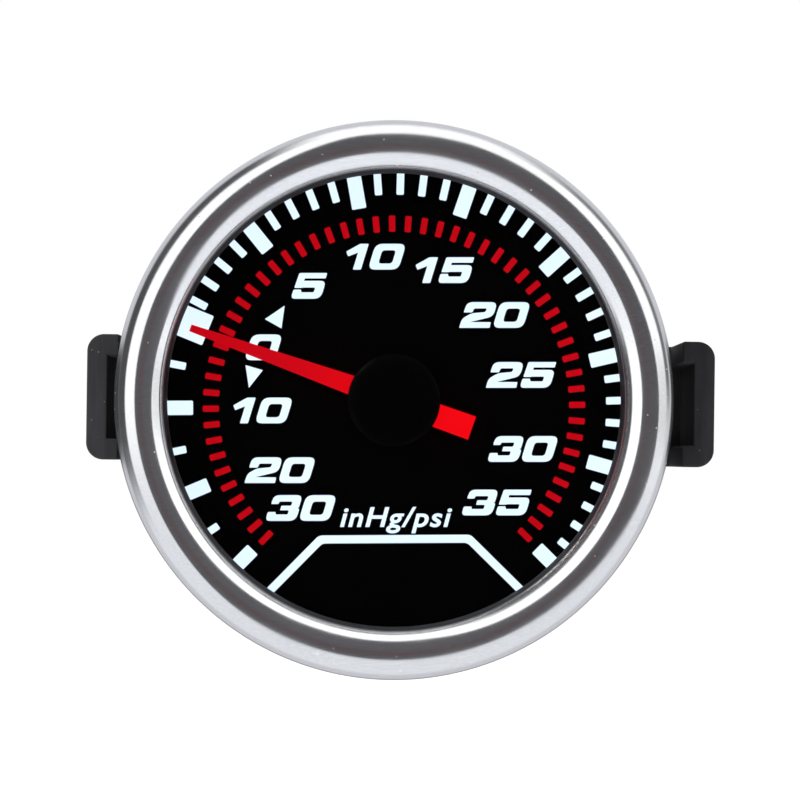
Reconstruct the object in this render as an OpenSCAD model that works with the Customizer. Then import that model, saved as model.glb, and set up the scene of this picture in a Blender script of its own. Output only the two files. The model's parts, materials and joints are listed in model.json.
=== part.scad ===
// Boost and vacuum gauge for a 52 mm panel hole.
// Each piece is drawn lying on its back with the dial up, then stood up so that the dial
// faces -Y and twelve o'clock is +Z. Depths run back from the bezel's panel face, so what
// lies in front of that face has a negative depth.

/* [Bezel] */
// Outer diameter of the bezel ring
bezel_d = 60; // [59:0.5:64]
// Radius of the bezel's half-round front
bezel_tube_r = 2.85; // [2.6:0.05:3.1]
// Thickness of the bezel's sheet
bezel_sheet = 0.6; // [0.4:0.05:0.8]
// Width of the edge crimped behind the case flange
bezel_crimp_w = 2.6; // [1.6:0.1:3]
// Straight length of the inner lip above the lens
bezel_lip_rise = 0.4; // [0.2:0.1:1]
// Space round the flange, seal and lens inside the bezel
rim_gap = 0.4; // [0.2:0.05:0.6]

/* [Case] */
// Outer diameter of the case
case_d = 52; // [51:0.1:52.4]
// Wall of the case
case_wall = 0.8; // [0.6:0.1:1]
// Depth of the case behind the panel face
case_depth = 34; // [33:0.5:38]
// Outer radius of the case's rear corner
case_corner_r = 2; // [1.2:0.1:3]
// Thickness of the front flange
flange_t = 0.8; // [0.6:0.1:1.2]

/* [Lens] */
// Thickness of the smoked lens
lens_t = 2; // [1.5:0.1:2.5]
// Thickness of the seal behind the lens
seal_t = 0.6; // [0.4:0.1:1]
// Width of the seal ring
seal_w = 3; // [2:0.1:3.4]

/* [Dial] */
// Depth of the dial's front face
dial_depth = 1.6; // [1.4:0.1:2]
// Thickness of the dial plate
dial_t = 1; // [0.8:0.1:1.2]
// Hole in the dial for the pointer's shaft
dial_hole_r = 1.6; // [1.2:0.1:2]
// Thickness of the dial's raised print
print_t = 0.08; // [0.06:0.01:0.1]
// Radius that the print reaches, under the bezel's lip
print_r = 24.6; // [24.4:0.1:24.9]
// How far the centre of the print lies below the pointer's axis
print_drop = 0.68; // [0:0.02:0.8]
// Turn of the printed scale on the dial in degrees, counterclockwise
print_turn = 0.3; // [-0.5:0.05:0.5]
// Turn of the red ticks against the white marks in degrees, counterclockwise
red_turn = 0.3; // [-0.5:0.05:0.5]
// Radial thickness of the spacer ring between lens and dial
spacer_w = 0.45; // [0.3:0.05:0.6]

/* [Scale] */
// Inner radius of the long white marks
major_in_r = 21.7; // [21:0.1:22.5]
// Width of the long white marks
major_w = 1.55; // [1:0.05:1.8]
// Inner radius of the short white marks
minor_in_r = 22.9; // [22.2:0.1:23.5]
// Width of the short white marks
minor_w = 0.8; // [0.5:0.05:1]
// Width of the block at zero
zero_w = 3.4; // [2:0.1:4]
// Inner radius of the red ticks
red_in_r = 18.9; // [18:0.1:19.2]
// Outer radius of the red ticks
red_out_r = 20.65; // [20:0.05:21]
// Width of the red ticks
red_w = 0.68; // [0.4:0.02:0.8]
// Length over which the corners of a mark are rounded
mark_round = 0.16; // [0.05:0.01:0.18]

/* [Numerals] */
// Height of a digit
digit_h = 2.78; // [2.6:0.02:3]
// Width of a digit before it is slanted
digit_w = 3.3; // [3:0.05:3.4]
// Width of the digit one before it is slanted
one_w = 2.17; // [1.9:0.01:2.3]
// Space between two digits
digit_gap = 0.3; // [0.25:0.01:0.4]
// Space between a leading one and the next digit
one_gap = 0.75; // [0.4:0.01:0.8]
// Slant of the digits in degrees
digit_slant = 17; // [0:0.5:18]
// Thickness of the border line at the foot of the dial
border_w = 0.87; // [0.5:0.01:1]
// Depth of the border line below the pointer's axis
border_drop = 14.53; // [14.2:0.01:15.5]
// Half the length of the border's level part
border_half = 8.18; // [7:0.02:9]

/* [Pointer] */
// Reach of the pointer's tip from its axis
tip_reach = 23.3; // [22:0.1:23.8]
// Width of the pointer at its tip
tip_w = 0.76; // [0.5:0.02:1]
// Width of the pointer at its hub
blade_w = 2.45; // [2:0.05:3]
// Width of the pointer at its tail
tail_w = 2.63; // [2:0.05:3]
// Reach of the pointer's tail from its axis
tail_reach = 8.92; // [7:0.1:10]
// Thickness of the pointer
blade_t = 0.6; // [0.4:0.05:0.7]
// Depth of the pointer's front face
blade_depth = 0.2; // [0.1:0.05:0.3]
// Radius of the hub cap at its foot
cap_r = 5; // [4.5:0.1:5.5]
// Height of the hub cap
cap_h = 1.3; // [1:0.05:1.4]
// Radius of the hub cap's rounded edge
cap_edge_r = 0.5; // [0.2:0.05:0.8]
// Angle of the resting pointer, counterclockwise from three o'clock
rest_angle = 160.4; // [157:0.1:162]

/* [Lighting] */
// Thickness of the light guide
guide_t = 1.8; // [1.4:0.1:2.2]
// Height of the rim under the light guide
guide_rim_h = 1.2; // [1:0.1:1.6]
// Thickness of the lamp board
board_t = 1; // [0.8:0.1:1.6]
// Inner radius of the lamp board
board_in_r = 12; // [11.5:0.5:14]
// Number of lamps on the board
lamp_count = 8; // [4:1:10]
// Length of a lamp
lamp_l = 3; // [2:0.1:3.5]
// Width of a lamp
lamp_w = 1.6; // [1:0.1:2]
// Height of a lamp
lamp_h = 0.8; // [0.5:0.05:0.9]
// Radius of the circle of lamps
lamp_ring_r = 19; // [17:0.5:20]
// Wall of the inner sleeve
sleeve_wall = 1; // [0.8:0.1:1.2]

/* [Movement] */
// Depth of the front movement plate
plate_depth = 9; // [8.8:0.1:9.4]
// Thickness of each movement plate
plate_t = 1; // [0.8:0.1:1.2]
// Space between the movement plates
pillar_h = 7; // [6.9:0.05:7.4]
// Half width of the movement plates
plate_half_w = 7.5; // [7.3:0.1:8]
// Height of the plates above the pointer's axis
plate_up = 7; // [6.5:0.1:8]
// Depth of the plates below the pointer's axis
plate_down = 14.5; // [14.3:0.1:14.6]
// Radius of a pillar
pillar_r = 1; // [0.9:0.05:1.1]
// Distance of the pillars from the edges of the plates
pillar_inset = 1.5; // [1.4:0.1:1.8]
// Radius of the screws in the pillars
screw_r = 0.5; // [0.4:0.05:0.6]
// Radius of the thick middle of each shaft
arbor_r = 0.6; // [0.55:0.01:0.65]
// Radius of the shafts in their bearing holes
pivot_r = 0.4; // [0.3:0.05:0.5]

/* [Gears] */
// Module of the pinion and the sector
gear_module = 0.25; // [0.24:0.01:0.26]
// Teeth on the pinion
pinion_teeth = 10; // [9:1:12]
// Teeth on a full circle of the sector's size
sector_full_teeth = 80; // [78:1:82]
// Length of the pinion
pinion_l = 2.5; // [1.8:0.1:2.6]
// Thickness of the sector
sector_t = 1.2; // [0.8:0.1:1.3]
// Distance of the link's pin from the sector's shaft
tail_l = 4.5; // [4.2:0.1:4.6]
// Length of the link between its pins
link_l = 12.2; // [12:0.1:12.4]
// Radius of the link's pins
link_pin_r = 0.5; // [0.4:0.05:0.55]

/* [Pressure tube] */
// Radius of the tube's centre line
tube_ring_r = 19; // [18.8:0.1:19.4]
// Thickness of the flattened tube, across its ring
tube_thin = 2; // [1.6:0.1:2.2]
// Width of the flattened tube, along the gauge's depth
tube_wide = 7; // [6:0.1:7.4]
// Wall of the tube
tube_wall = 0.25; // [0.2:0.05:0.35]
// Depth of the socket block
block_t = 8; // [8:0.1:8.4]
// Half width of the socket block
block_half_w = 5; // [4.8:0.1:5.4]

/* [Inlet] */
// Radius of the inlet's thread
inlet_r = 4; // [3.6:0.1:4.2]
// Width across the flats of the inlet's lock nut
lock_nut_af = 12; // [11:0.5:12.5]
// Thickness of the lock nut
lock_nut_t = 3; // [2:0.1:3]
// Width across the flats of the inlet's hexagon
inlet_hex_af = 9; // [9:0.5:10]
// Length of the inlet's hexagon
inlet_hex_l = 4; // [3:0.1:5]
// Radius of the hose stem between its barbs
stem_r = 2.2; // [1.8:0.1:2.4]
// Radius of the barbs
barb_r = 2.9; // [2.6:0.1:3.2]
// Length of one barb
barb_l = 4; // [3:0.1:5]
// Number of barbs
barb_count = 3; // [2:1:4]
// Radius of the passage through the inlet
passage_r = 1.1; // [0.8:0.1:1.3]

/* [Mounting] */
// Overall width of the mounting strap
strap_w = 68; // [67:0.5:70]
// Height of the strap's legs
strap_h = 13.6; // [13:0.1:15]
// Thickness of the strap's back
strap_wall = 2.2; // [1.8:0.1:2.4]
// Thickness of the legs' top and bottom walls
strap_side_wall = 2.25; // [1.8:0.05:2.5]
// Share of the room beside the case that a leg takes up
leg_share = 0.4325; // [0.35:0.0025:0.5]
// Rounding of the legs' outer corners, seen from the front
leg_round_r = 1.85; // [1:0.05:2.2]
// Depth of the legs' ends, which is the thickness of the panel that they clamp
panel_t = 3; // [2:0.1:3.4]
// Outer corner radius of the strap
strap_corner_r = 3; // [2:0.1:4]
// Space between the case's back and the strap
strap_gap = 3.6; // [3.6:0.1:4.5]
// Radius of the strap's round middle
strap_pad_r = 11; // [10.5:0.1:11.5]
// How far the strap sits to the right in its slotted holes
strap_shift = 0.7; // [0:0.05:0.8]
// How far the strap is turned clockwise in its slack, in degrees
strap_roll = 0.75; // [0:0.05:0.8]
// Distance of each mounting stud from the axis
stud_x = 16; // [15.5:0.1:16.5]
// Radius of the mounting studs
stud_r = 2; // [1.9:0.05:2.1]
// Reach of the studs behind the case
stud_reach = 19.2; // [19:0.1:21]
// Thickness of the nuts at the studs' foot
base_nut_t = 1.6; // [1.2:0.1:1.8]
// Radius of the thumb nuts
thumb_r = 5.5; // [5:0.1:6]
// Height of the thumb nuts
thumb_h = 6; // [5:0.1:6.4]
// Number of grooves round a thumb nut
knurl_count = 24; // [18:1:28]
// Thickness of the lock washers
washer_t = 0.8; // [0.6:0.1:1]
// Distance of the wire grommet below the axis
grommet_drop = 14; // [13.8:0.1:15]
// Radius of the grommet's hole
grommet_hole_r = 1.75; // [1.5:0.05:2]

/* [Hidden] */
$fn = 96;

// Clearances: pressed pieces, turning pieces, pieces laid in place, and the overrun of cuts
press_gap = 0.02;
run_gap = 0.04;
fit_gap = 0.1;
cut = 1;

// Bezel and rim, from the panel face forward
bezel_r = bezel_d / 2;
opening_r = bezel_r - 2 * bezel_tube_r;
rim_r = bezel_r - bezel_sheet - rim_gap;
flange_rear = -bezel_sheet;
flange_front = flange_rear - flange_t;
lens_rear = flange_front - seal_t;
lens_front = lens_rear - lens_t;
bezel_mid = lens_front - bezel_lip_rise;

// Case and what is stacked behind the dial
case_r = case_d / 2;
case_in_r = case_r - case_wall;
case_floor = case_depth - case_wall;
stack_r = case_in_r - fit_gap;
guide_front = dial_depth + dial_t;
guide_rear = guide_front + guide_t;
board_front = guide_rear + guide_rim_h;
board_rear = board_front + board_t;

// Scale: one turn has as many red ticks as steps of red_step degrees fit in the sweep
sweep_start = 225;
sweep_end = -45;
red_step = 5;
vacuum_step = 11.25;
zero_angle = 157.5;
psi_step = 5.786;
psi_last = 35;
psi_per_major = 5;

// Places of the numerals, as shares of the print's radius, with each number's digits
psi_numeral_shares = [
    [[5], -0.372, 0.503], [[1, 0], -0.09, 0.631], [[1, 5], 0.214, 0.572],
    [[2, 0], 0.443, 0.375], [[2, 5], 0.56, 0.112], [[3, 0], 0.566, -0.213],
    [[3, 5], 0.452, -0.448]
];
vacuum_numeral_shares = [
    [[0], -0.573, 0.233], [[1, 0], -0.586, -0.044], [[2, 0], -0.499, -0.306],
    [[3, 0], -0.408, -0.472]
];
// Corners of the two arrow triangles beside the zero, as shares of the print's radius
up_arrow_shares = [[-0.48, 0.416], [-0.567, 0.357], [-0.494, 0.316]];
down_arrow_shares = [[-0.652, 0.155], [-0.576, 0.133], [-0.637, 0.055]];

// Digit outlines: the corners counterclockwise from the lower left one, each with the length
// over which it is rounded. Widths are shares of the digit's width, the rest of its height
corner_steps = 4;
glyph_mid = digit_h / 2;
zero_shares = [[0, 0, 0.27], [1, 0, 0.27], [1, 1, 0.27], [0, 1, 0.27]];
zero_hole_shares = [[0.28, 0.235, 0.12], [0.73, 0.235, 0.12], [0.73, 0.75, 0.12], [0.28, 0.75, 0.12]];
one_shares = [
    [0.6, 0, 0.03], [1, 0, 0.03], [1, 1, 0.03], [0.58, 1, 0.03], [0, 0.7, 0.04],
    [0.165, 0.51, 0.04], [0.6, 0.66, 0]
];
two_shares = [
    [0, 0, 0.04], [1, 0, 0.04], [0.98, 0.22, 0.02], [0.3, 0.23, 0.02], [0.86, 0.4, 0],
    [1, 0.44, 0.2], [1, 1, 0.24], [0, 1, 0.22], [0, 0.6, 0.03], [0.28, 0.6, 0.03],
    [0.3, 0.755, 0.05], [0.72, 0.755, 0.05], [0.7, 0.615, 0.05], [0.26, 0.565, 0.1],
    [0, 0.36, 0.14]
];
three_shares = [
    [0, 0, 0.18], [1, 0, 0.26], [1, 0.49, 0.1], [0.93, 0.5, 0], [0.97, 0.53, 0],
    [0.97, 1, 0.22], [0.03, 1, 0.22], [0.03, 0.655, 0.03], [0.26, 0.655, 0.02],
    [0.285, 0.75, 0.03], [0.7, 0.75, 0.05], [0.7, 0.59, 0.05], [0.38, 0.59, 0.03],
    [0.38, 0.41, 0.03], [0.67, 0.41, 0.05], [0.67, 0.25, 0.05], [0.28, 0.25, 0.03],
    [0.25, 0.345, 0.02], [0, 0.345, 0.05]
];
five_shares = [
    [0.02, 0, 0.16], [1, 0, 0.26], [1, 0.695, 0.22], [0.28, 0.695, 0.02], [0.28, 0.79, 0.02],
    [0.96, 0.79, 0.02], [0.96, 1, 0.04], [0.05, 1, 0.06], [0.03, 0.42, 0.04],
    [0.27, 0.42, 0.02], [0.31, 0.435, 0], [0.71, 0.435, 0.05], [0.71, 0.25, 0.05],
    [0.31, 0.25, 0.03], [0.26, 0.355, 0.02], [0.02, 0.355, 0.06]
];

// Pointer
blade_rear = blade_depth + blade_t;
blade_hole_r = 1;
boss_r = 1.8;
boss_rear_gap = 0.3;
boss_rear = dial_depth - print_t - boss_rear_gap;
boss_nose = 0.7;
cap_socket = 0.8;
arbor_nose = 0.5;

// Movement plates, shafts and gears
plate_front_rear = plate_depth + plate_t;
rear_plate_front = plate_front_rear + pillar_h;
rear_plate_rear = rear_plate_front + plate_t;
pillar_x = plate_half_w - pillar_inset;
pillar_rise = 0.5;
pillar_top = plate_up - pillar_inset - pillar_rise;
pillar_low = plate_down - pillar_inset;
plate_corner = 1.5;
plate_set = 0.1;
shoulder_gap = 0.15;
screw_head_r = 1;
screw_head_t = 0.6;
screw_depth = 2.5;
rivet_r = 0.6;
pinion_set = 2;
sector_set = 0.4;
link_set = 0.3;
link_t = 0.8;
link_half_w = 0.8;
eye_r = 1.1;
tail_half_w = 0.9;
sector_hub_r = 1.8;
window_in_r = 3.2;
window_rim = 1.6;
window_inset = 8;
pinion_front = plate_front_rear + pinion_set;
sector_front = pinion_front + sector_set;
sector_rear = sector_front + sector_t;
link_front = sector_rear + link_set;
link_rear = link_front + link_t;
link_pin_over = 0.5;
addendum_share = 0.8;
dedendum_share = 1.2;
tooth_root_share = 1.6;
tooth_pitch_share = 1.32;
tooth_tip_share = 0.6;
pinion_pitch_r = gear_module * pinion_teeth / 2;
sector_pitch_r = gear_module * sector_full_teeth / 2;
gear_centres = pinion_pitch_r + sector_pitch_r;
tooth_angle = 360 / sector_full_teeth;
// Teeth kept on the sector either side of the one that meshes at rest
teeth_right = 7;
teeth_left = 3;
sector_edge = 0.6;
sector_right = -(teeth_right + sector_edge) * tooth_angle;
sector_left = (teeth_left + sector_edge) * tooth_angle;
// Swing of the sector from rest, in degrees, for full vacuum and full boost
sector_back = 8.225;
sector_ahead = 25.825;
tail_angle = -98.8;
link_pin = [0, -gear_centres] + tail_l * [cos(tail_angle), sin(tail_angle)];
tip_pin_place = link_pin + [link_l, 0];
stop_r = 0.6;
stop_ring_r = 7;
stop_gap = 0.1;
stop_angle = asin((stop_r + stop_gap) / stop_ring_r);

// Hairspring
spring_front = 15.4;
spring_w = 0.8;
spring_t = 0.15;
spring_turns = 4;
spring_stud_angle = 150;
spring_stud_r = 0.5;
spring_stud_ring = 5.4;
spring_end_gap = 0.05;
spring_steps = 24;
collet_r = 1.1;
collet_over = 0.3;
spring_in_r = collet_r + fit_gap;
spring_out_r = spring_stud_ring - spring_stud_r - spring_end_gap;

// Pressure tube, its tip and the socket block
tube_mid = rear_plate_rear + block_t / 2;
tube_start = 240;
tube_end = -50;
tip_span = 7;
tube_room = stack_r - sleeve_wall - tube_ring_r - tube_thin / 2;
tip_side_share = 6 / 41;
tip_side = tip_side_share * tube_room;
block_front = rear_plate_rear;
block_rear = block_front + block_t;
block_up = 7;
foot_side_share = 14 / 41;
foot_side = tube_thin / 2 + foot_side_share * tube_room;
foot_in_r = tube_ring_r - foot_side;
foot_out_r = tube_ring_r + foot_side;
foot_end = 285;
boss_outer_r = 6;
inlet_sunk = 6.2;
cross_r = 0.7;
block_screw_x = 3.2;
block_screw_drop = 7.5;
block_screw_r = 0.8;
block_screw_head_r = 1.3;
block_screw_l = 5;
tip_pin_sunk = 2;

// Inlet outside the case
inlet_washer_t = 0.6;
inlet_washer_r = 6.5;
inlet_thread_over = 1.4;
lock_nut_rear = case_depth + inlet_washer_t + lock_nut_t;
inlet_hex_front = lock_nut_rear + inlet_thread_over;
stem_front = inlet_hex_front + inlet_hex_l;
stem_lead = 3;
stem_rear = stem_front + stem_lead + barb_count * barb_l;

// Strap, studs, nuts and grommet
strap_front = case_depth + strap_gap;
strap_rear = strap_front + strap_wall;
strap_half_w = strap_w / 2;
leg_w = leg_share * (strap_half_w - case_r);
leg_in_x = strap_half_w - leg_w;
leg_wall_share = 7 / 11;
leg_wall = leg_wall_share * leg_w;
strap_round = min(strap_corner_r, leg_w);
leg_fillet_share = 1 / 3;
strap_hole_r = 8.2;
strap_stud_gap = 0.35;
strap_slot = 0.9;
leg_fillet = leg_fillet_share * leg_w;
stud_head_r = 3.5;
stud_head_t = 1;
stud_hole_gap = 0.05;
stud_rear = case_depth + stud_reach;
base_nut_af = 7;
washer_r = 4;
washer_rear = strap_rear + washer_t;
thumb_rear = washer_rear + thumb_h;
thumb_collar_h = 1.2;
thumb_collar_r = 4;
knurl_r = 0.45;
grommet_neck_r = 3.5;
grommet_flange_r = 5;
grommet_flange_t = 1.6;
grommet_inner_share = 2 / 9;
grommet_inner_t = grommet_inner_share * (case_floor - block_rear);

module stand_up() rotate([90, 0, 0]) children();

// A flat outline filled between two depths
module layer(front, rear) translate([0, 0, -rear]) linear_extrude(rear - front) children();

// A disc between two depths, with an optional hole
module disc(r, front, rear, hole = 0) layer(front, rear) difference() {
    circle(r);
    if (hole > 0) circle(hole);
}

// A hexagon by its width across the flats
module hexagon(af) circle(af / 2 / cos(30), $fn = 6);

function unit(v) = v / norm(v);
function flat_point(c) = [c[0], c[1]];
function polar(r, angle) = r * [cos(angle), sin(angle)];
function arc(r, from, to, steps) =
    [for (i = [0 : steps]) polar(r, from + (to - from) * i / steps)];

// An outline whose corners are [x, y, length over which the corner is rounded]
function rounded_corner(before, at, after, t) = t == 0 ? [at] :
    let (a = at + t * unit(before - at), b = at + t * unit(after - at))
    [for (i = [0 : corner_steps]) let (k = i / corner_steps)
        (1 - k) * (1 - k) * a + 2 * k * (1 - k) * at + k * k * b];
function rounded_outline(c) = [for (i = [0 : len(c) - 1]) each rounded_corner(
    flat_point(c[(i + len(c) - 1) % len(c)]), flat_point(c[i]),
    flat_point(c[(i + 1) % len(c)]), c[i][2])];

// A ring sector between two radii and two angles, with true arcs
module ring_sector(in_r, out_r, from, to) intersection() {
    difference() {
        circle(out_r);
        circle(in_r);
    }
    polygon(concat([[0, 0]], arc(2 * out_r, from, to, ceil((to - from) / 30))));
}

module bezel_section() {
    translate([bezel_r - bezel_tube_r, -bezel_mid]) intersection() {
        difference() {
            circle(bezel_tube_r);
            circle(bezel_tube_r - bezel_sheet);
        }
        translate([-bezel_tube_r, 0]) square([2 * bezel_tube_r, bezel_tube_r]);
    }
    translate([bezel_r - bezel_sheet, 0]) square([bezel_sheet, -bezel_mid]);
    translate([opening_r, -lens_front]) square([bezel_sheet, bezel_lip_rise]);
    translate([bezel_r - bezel_crimp_w, 0]) square([bezel_crimp_w, bezel_sheet]);
}

module bezel_ring() color("silver") stand_up() rotate_extrude() bezel_section();

// Section of a closed can, from its axis to radius r and from front to rear
module can_section(r, front, rear, corner) polygon(concat(
    [[0, -front], [0, -rear]],
    [for (p = arc(corner, -90, 0, 6)) [r - corner, corner - rear] + p],
    [[r, -front]]
));

module case_can() color([0.12, 0.12, 0.13]) stand_up() difference() {
    union() {
        rotate_extrude() difference() {
            can_section(case_r, flange_front, case_depth, case_corner_r);
            can_section(case_in_r, flange_front - cut, case_floor, case_corner_r - case_wall);
        }
        disc(rim_r, flange_front, flange_rear, case_in_r);
    }
    layer(case_floor - cut, case_depth + cut) {
        circle(inlet_r + fit_gap);
        for (side = [-1, 1]) translate([side * stud_x, 0]) circle(stud_r + stud_hole_gap);
        translate([0, -grommet_drop]) circle(grommet_neck_r + press_gap);
    }
}

module lens() color([0.1, 0.1, 0.12, 0.4]) stand_up() disc(rim_r, lens_front, lens_rear);

module lens_seal() color([0.05, 0.05, 0.05]) stand_up()
    disc(rim_r, lens_rear, flange_front, rim_r - seal_w);

module dial_spacer_ring() color("black") stand_up()
    disc(stack_r, lens_rear, dial_depth, stack_r - spacer_w);

module dial_plate() color("black") stand_up()
    disc(stack_r, dial_depth, dial_depth + dial_t, dial_hole_r);

// Print lies on the dial's face and ends under the bezel's lip
module print() stand_up() layer(dial_depth - print_t, dial_depth) intersection() {
    circle(print_r);
    children();
}

// A radial mark with rounded ends, about the centre of the print
module radial_mark(angle, in_r, out_r, w) translate([0, -print_drop]) rotate(angle + print_turn)
    polygon(rounded_outline([
        [in_r, -w / 2, mark_round], [out_r, -w / 2, mark_round],
        [out_r, w / 2, mark_round], [in_r, w / 2, mark_round]
    ]));

module scale_white_marks() color("white") print() {
    out_r = print_r + 2 * print_drop;
    radial_mark(zero_angle, major_in_r, out_r, zero_w);
    for (i = [1 : 3]) {
        radial_mark(zero_angle + 2 * i * vacuum_step, major_in_r, out_r, major_w);
        radial_mark(zero_angle + (2 * i - 1) * vacuum_step, minor_in_r, out_r, minor_w);
    }
    for (psi = [1 : psi_last]) {
        major = psi % psi_per_major == 0;
        radial_mark(zero_angle - psi * psi_step, major ? major_in_r : minor_in_r, out_r,
            major ? major_w : minor_w);
    }
}

module scale_red_marks() color("red") print()
    for (angle = [sweep_end : red_step : sweep_start])
        radial_mark(angle + red_turn, red_in_r, red_out_r, red_w);

function slanted(points) =
    [for (p = points) [p[0] + (p[1] - glyph_mid) * tan(digit_slant), p[1] - glyph_mid]];
function digit_width(d) = d == 1 ? one_w : digit_w;
function gap_after(d) = d == 1 ? one_gap : digit_gap;
function sized(corners, w) = [for (c = corners) [c[0] * w, c[1] * digit_h, c[2] * digit_h]];

module glyph(corners, w) polygon(slanted(rounded_outline(sized(corners, w))));

module digit(d) {
    if (d == 0) difference() {
        glyph(zero_shares, digit_w);
        glyph(zero_hole_shares, digit_w);
    }
    if (d == 1) glyph(one_shares, one_w);
    if (d == 2) glyph(two_shares, digit_w);
    if (d == 3) glyph(three_shares, digit_w);
    if (d == 5) glyph(five_shares, digit_w);
}

// A number whose middle is at the origin
module numeral(digits) {
    count = len(digits);
    total = digit_width(digits[0])
        + (count == 2 ? gap_after(digits[0]) + digit_width(digits[1]) : 0);
    translate([-total / 2, 0]) digit(digits[0]);
    if (count == 2) translate([total / 2 - digit_width(digits[1]), 0]) digit(digits[1]);
}

module scale_numerals() color("white") print()
    for (n = concat(psi_numeral_shares, vacuum_numeral_shares))
        translate([n[1], n[2]] * print_r) numeral(n[0]);

module dial_border_line() color("white") print() {
    inner = border_half - border_w * tan(22.5);
    rotate(print_turn) polygon([
        [-border_half - print_r, -border_drop - print_r], [-border_half, -border_drop],
        [border_half, -border_drop], [border_half + print_r, -border_drop - print_r],
        [inner + print_r, -border_drop - border_w - print_r],
        [inner, -border_drop - border_w], [-inner, -border_drop - border_w],
        [-inner - print_r, -border_drop - border_w - print_r]
    ]);
    polygon(up_arrow_shares * print_r);
    polygon(down_arrow_shares * print_r);
}

module light_guide() color([0.9, 0.95, 1]) stand_up() {
    disc(stack_r, guide_front, guide_rear, dial_hole_r);
    disc(stack_r, guide_rear, board_front, stack_r - sleeve_wall);
}

module lamp_board() color([0.05, 0.3, 0.15]) stand_up()
    disc(stack_r, board_front, board_rear, board_in_r);

module lamp_leds() color("ivory") stand_up() layer(board_front - lamp_h, board_front)
    for (i = [0 : lamp_count - 1]) rotate(i * 360 / lamp_count)
        translate([lamp_ring_r - lamp_w / 2, -lamp_l / 2]) square([lamp_w, lamp_l]);

module inner_sleeve() color("white") stand_up()
    disc(stack_r, board_rear, case_floor - case_corner_r, stack_r - sleeve_wall);

function plate_corners() = [
    [-plate_half_w, -plate_down, plate_corner], [plate_half_w, -plate_down, plate_corner],
    [plate_half_w, plate_up, plate_corner], [-plate_half_w, plate_up, plate_corner]
];
function pillar_places() = [
    [-pillar_x, pillar_top], [pillar_x, pillar_top],
    [-pillar_x, -pillar_low], [pillar_x, -pillar_low]
];
function sector_centre() = [0, -gear_centres];

module at_pillars() for (p = pillar_places()) translate(p) children();

module movement_front_plate() color("goldenrod") stand_up()
    layer(plate_depth, plate_front_rear) difference() {
        polygon(rounded_outline(plate_corners()));
        circle(pivot_r + run_gap);
        translate(sector_centre()) circle(pivot_r + run_gap);
        at_pillars() circle(screw_r + fit_gap);
    }

module movement_rear_plate() color("goldenrod") stand_up()
    layer(rear_plate_front, rear_plate_rear) difference() {
        polygon(rounded_outline(plate_corners()));
        circle(pivot_r + run_gap);
        translate(sector_centre()) circle(pivot_r + run_gap);
        at_pillars() circle(rivet_r + press_gap);
        for (side = [-1, 1]) translate([side * block_screw_x, -block_screw_drop])
            circle(block_screw_r + fit_gap);
    }

module movement_pillars() color("gold") stand_up() {
    for (p = pillar_places()) translate(p) {
        disc(pillar_r, plate_front_rear, plate_front_rear + screw_depth, screw_r + press_gap);
        disc(pillar_r, plate_front_rear + screw_depth, rear_plate_front);
        disc(rivet_r, rear_plate_front, rear_plate_rear);
    }
}

module movement_screws() color("silver") stand_up()
    for (p = pillar_places()) translate(p) {
        disc(screw_head_r, plate_depth - screw_head_t, plate_depth);
        disc(screw_r, plate_depth, plate_front_rear + screw_depth);
    }

// A gear tooth on the +X axis, from inside the root circle to its tip
module tooth(pitch_r) polygon([
    [pitch_r - 2 * gear_module, -tooth_root_share * gear_module / 2],
    [pitch_r, -tooth_pitch_share * gear_module / 2],
    [pitch_r + addendum_share * gear_module, -tooth_tip_share * gear_module / 2],
    [pitch_r + addendum_share * gear_module, tooth_tip_share * gear_module / 2],
    [pitch_r, tooth_pitch_share * gear_module / 2],
    [pitch_r - 2 * gear_module, tooth_root_share * gear_module / 2]
]);

module pinion() color("gold") stand_up()
    layer(pinion_front, pinion_front + pinion_l) difference() {
        union() {
            circle(pinion_pitch_r - dedendum_share * gear_module);
            for (i = [0 : pinion_teeth - 1])
                rotate(-90 + (i + 1 / 2) * 360 / pinion_teeth) tooth(pinion_pitch_r);
        }
        circle(arbor_r + press_gap);
    }

module sector_shape() difference() {
    root_r = sector_pitch_r - dedendum_share * gear_module;
    union() {
        circle(sector_hub_r);
        rotate(90) ring_sector(arbor_r, root_r, sector_right, sector_left);
        for (i = [-teeth_right : teeth_left])
            rotate(90 + i * tooth_angle) tooth(sector_pitch_r);
        rotate(tail_angle) translate([0, -tail_half_w]) square([tail_l, 2 * tail_half_w]);
        translate(polar(tail_l, tail_angle)) circle(eye_r);
    }
    rotate(90) ring_sector(window_in_r, root_r - window_rim,
        sector_right + window_inset, sector_left - window_inset);
    circle(arbor_r + press_gap);
    translate(polar(tail_l, tail_angle)) circle(link_pin_r + press_gap);
}

module sector_gear() color("goldenrod") stand_up()
    translate(sector_centre()) layer(sector_front, sector_rear) sector_shape();

// A shaft with a thick middle between the plates and a thin pivot at each end
module shaft(front) {
    disc(pivot_r, front, plate_front_rear + shoulder_gap);
    disc(arbor_r, plate_front_rear + shoulder_gap, rear_plate_front - shoulder_gap);
    disc(pivot_r, rear_plate_front - shoulder_gap, rear_plate_rear - plate_set);
}

module sector_arbor() color("silver") stand_up()
    translate(sector_centre()) shaft(plate_depth + plate_set);

module pointer_arbor() color("silver") stand_up() shaft(blade_depth - arbor_nose);

module tail_pin() color("silver") stand_up() translate(link_pin)
    disc(link_pin_r, sector_front, link_rear + link_pin_over);

module link_bar() color("silver") stand_up()
    layer(link_front, link_rear) difference() {
        union() {
            translate(link_pin - [0, link_half_w]) square([link_l, 2 * link_half_w]);
            translate(link_pin) circle(eye_r);
            translate(tip_pin_place) circle(eye_r);
        }
        translate(link_pin) circle(link_pin_r + run_gap);
        translate(tip_pin_place) circle(link_pin_r + run_gap);
    }

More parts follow.
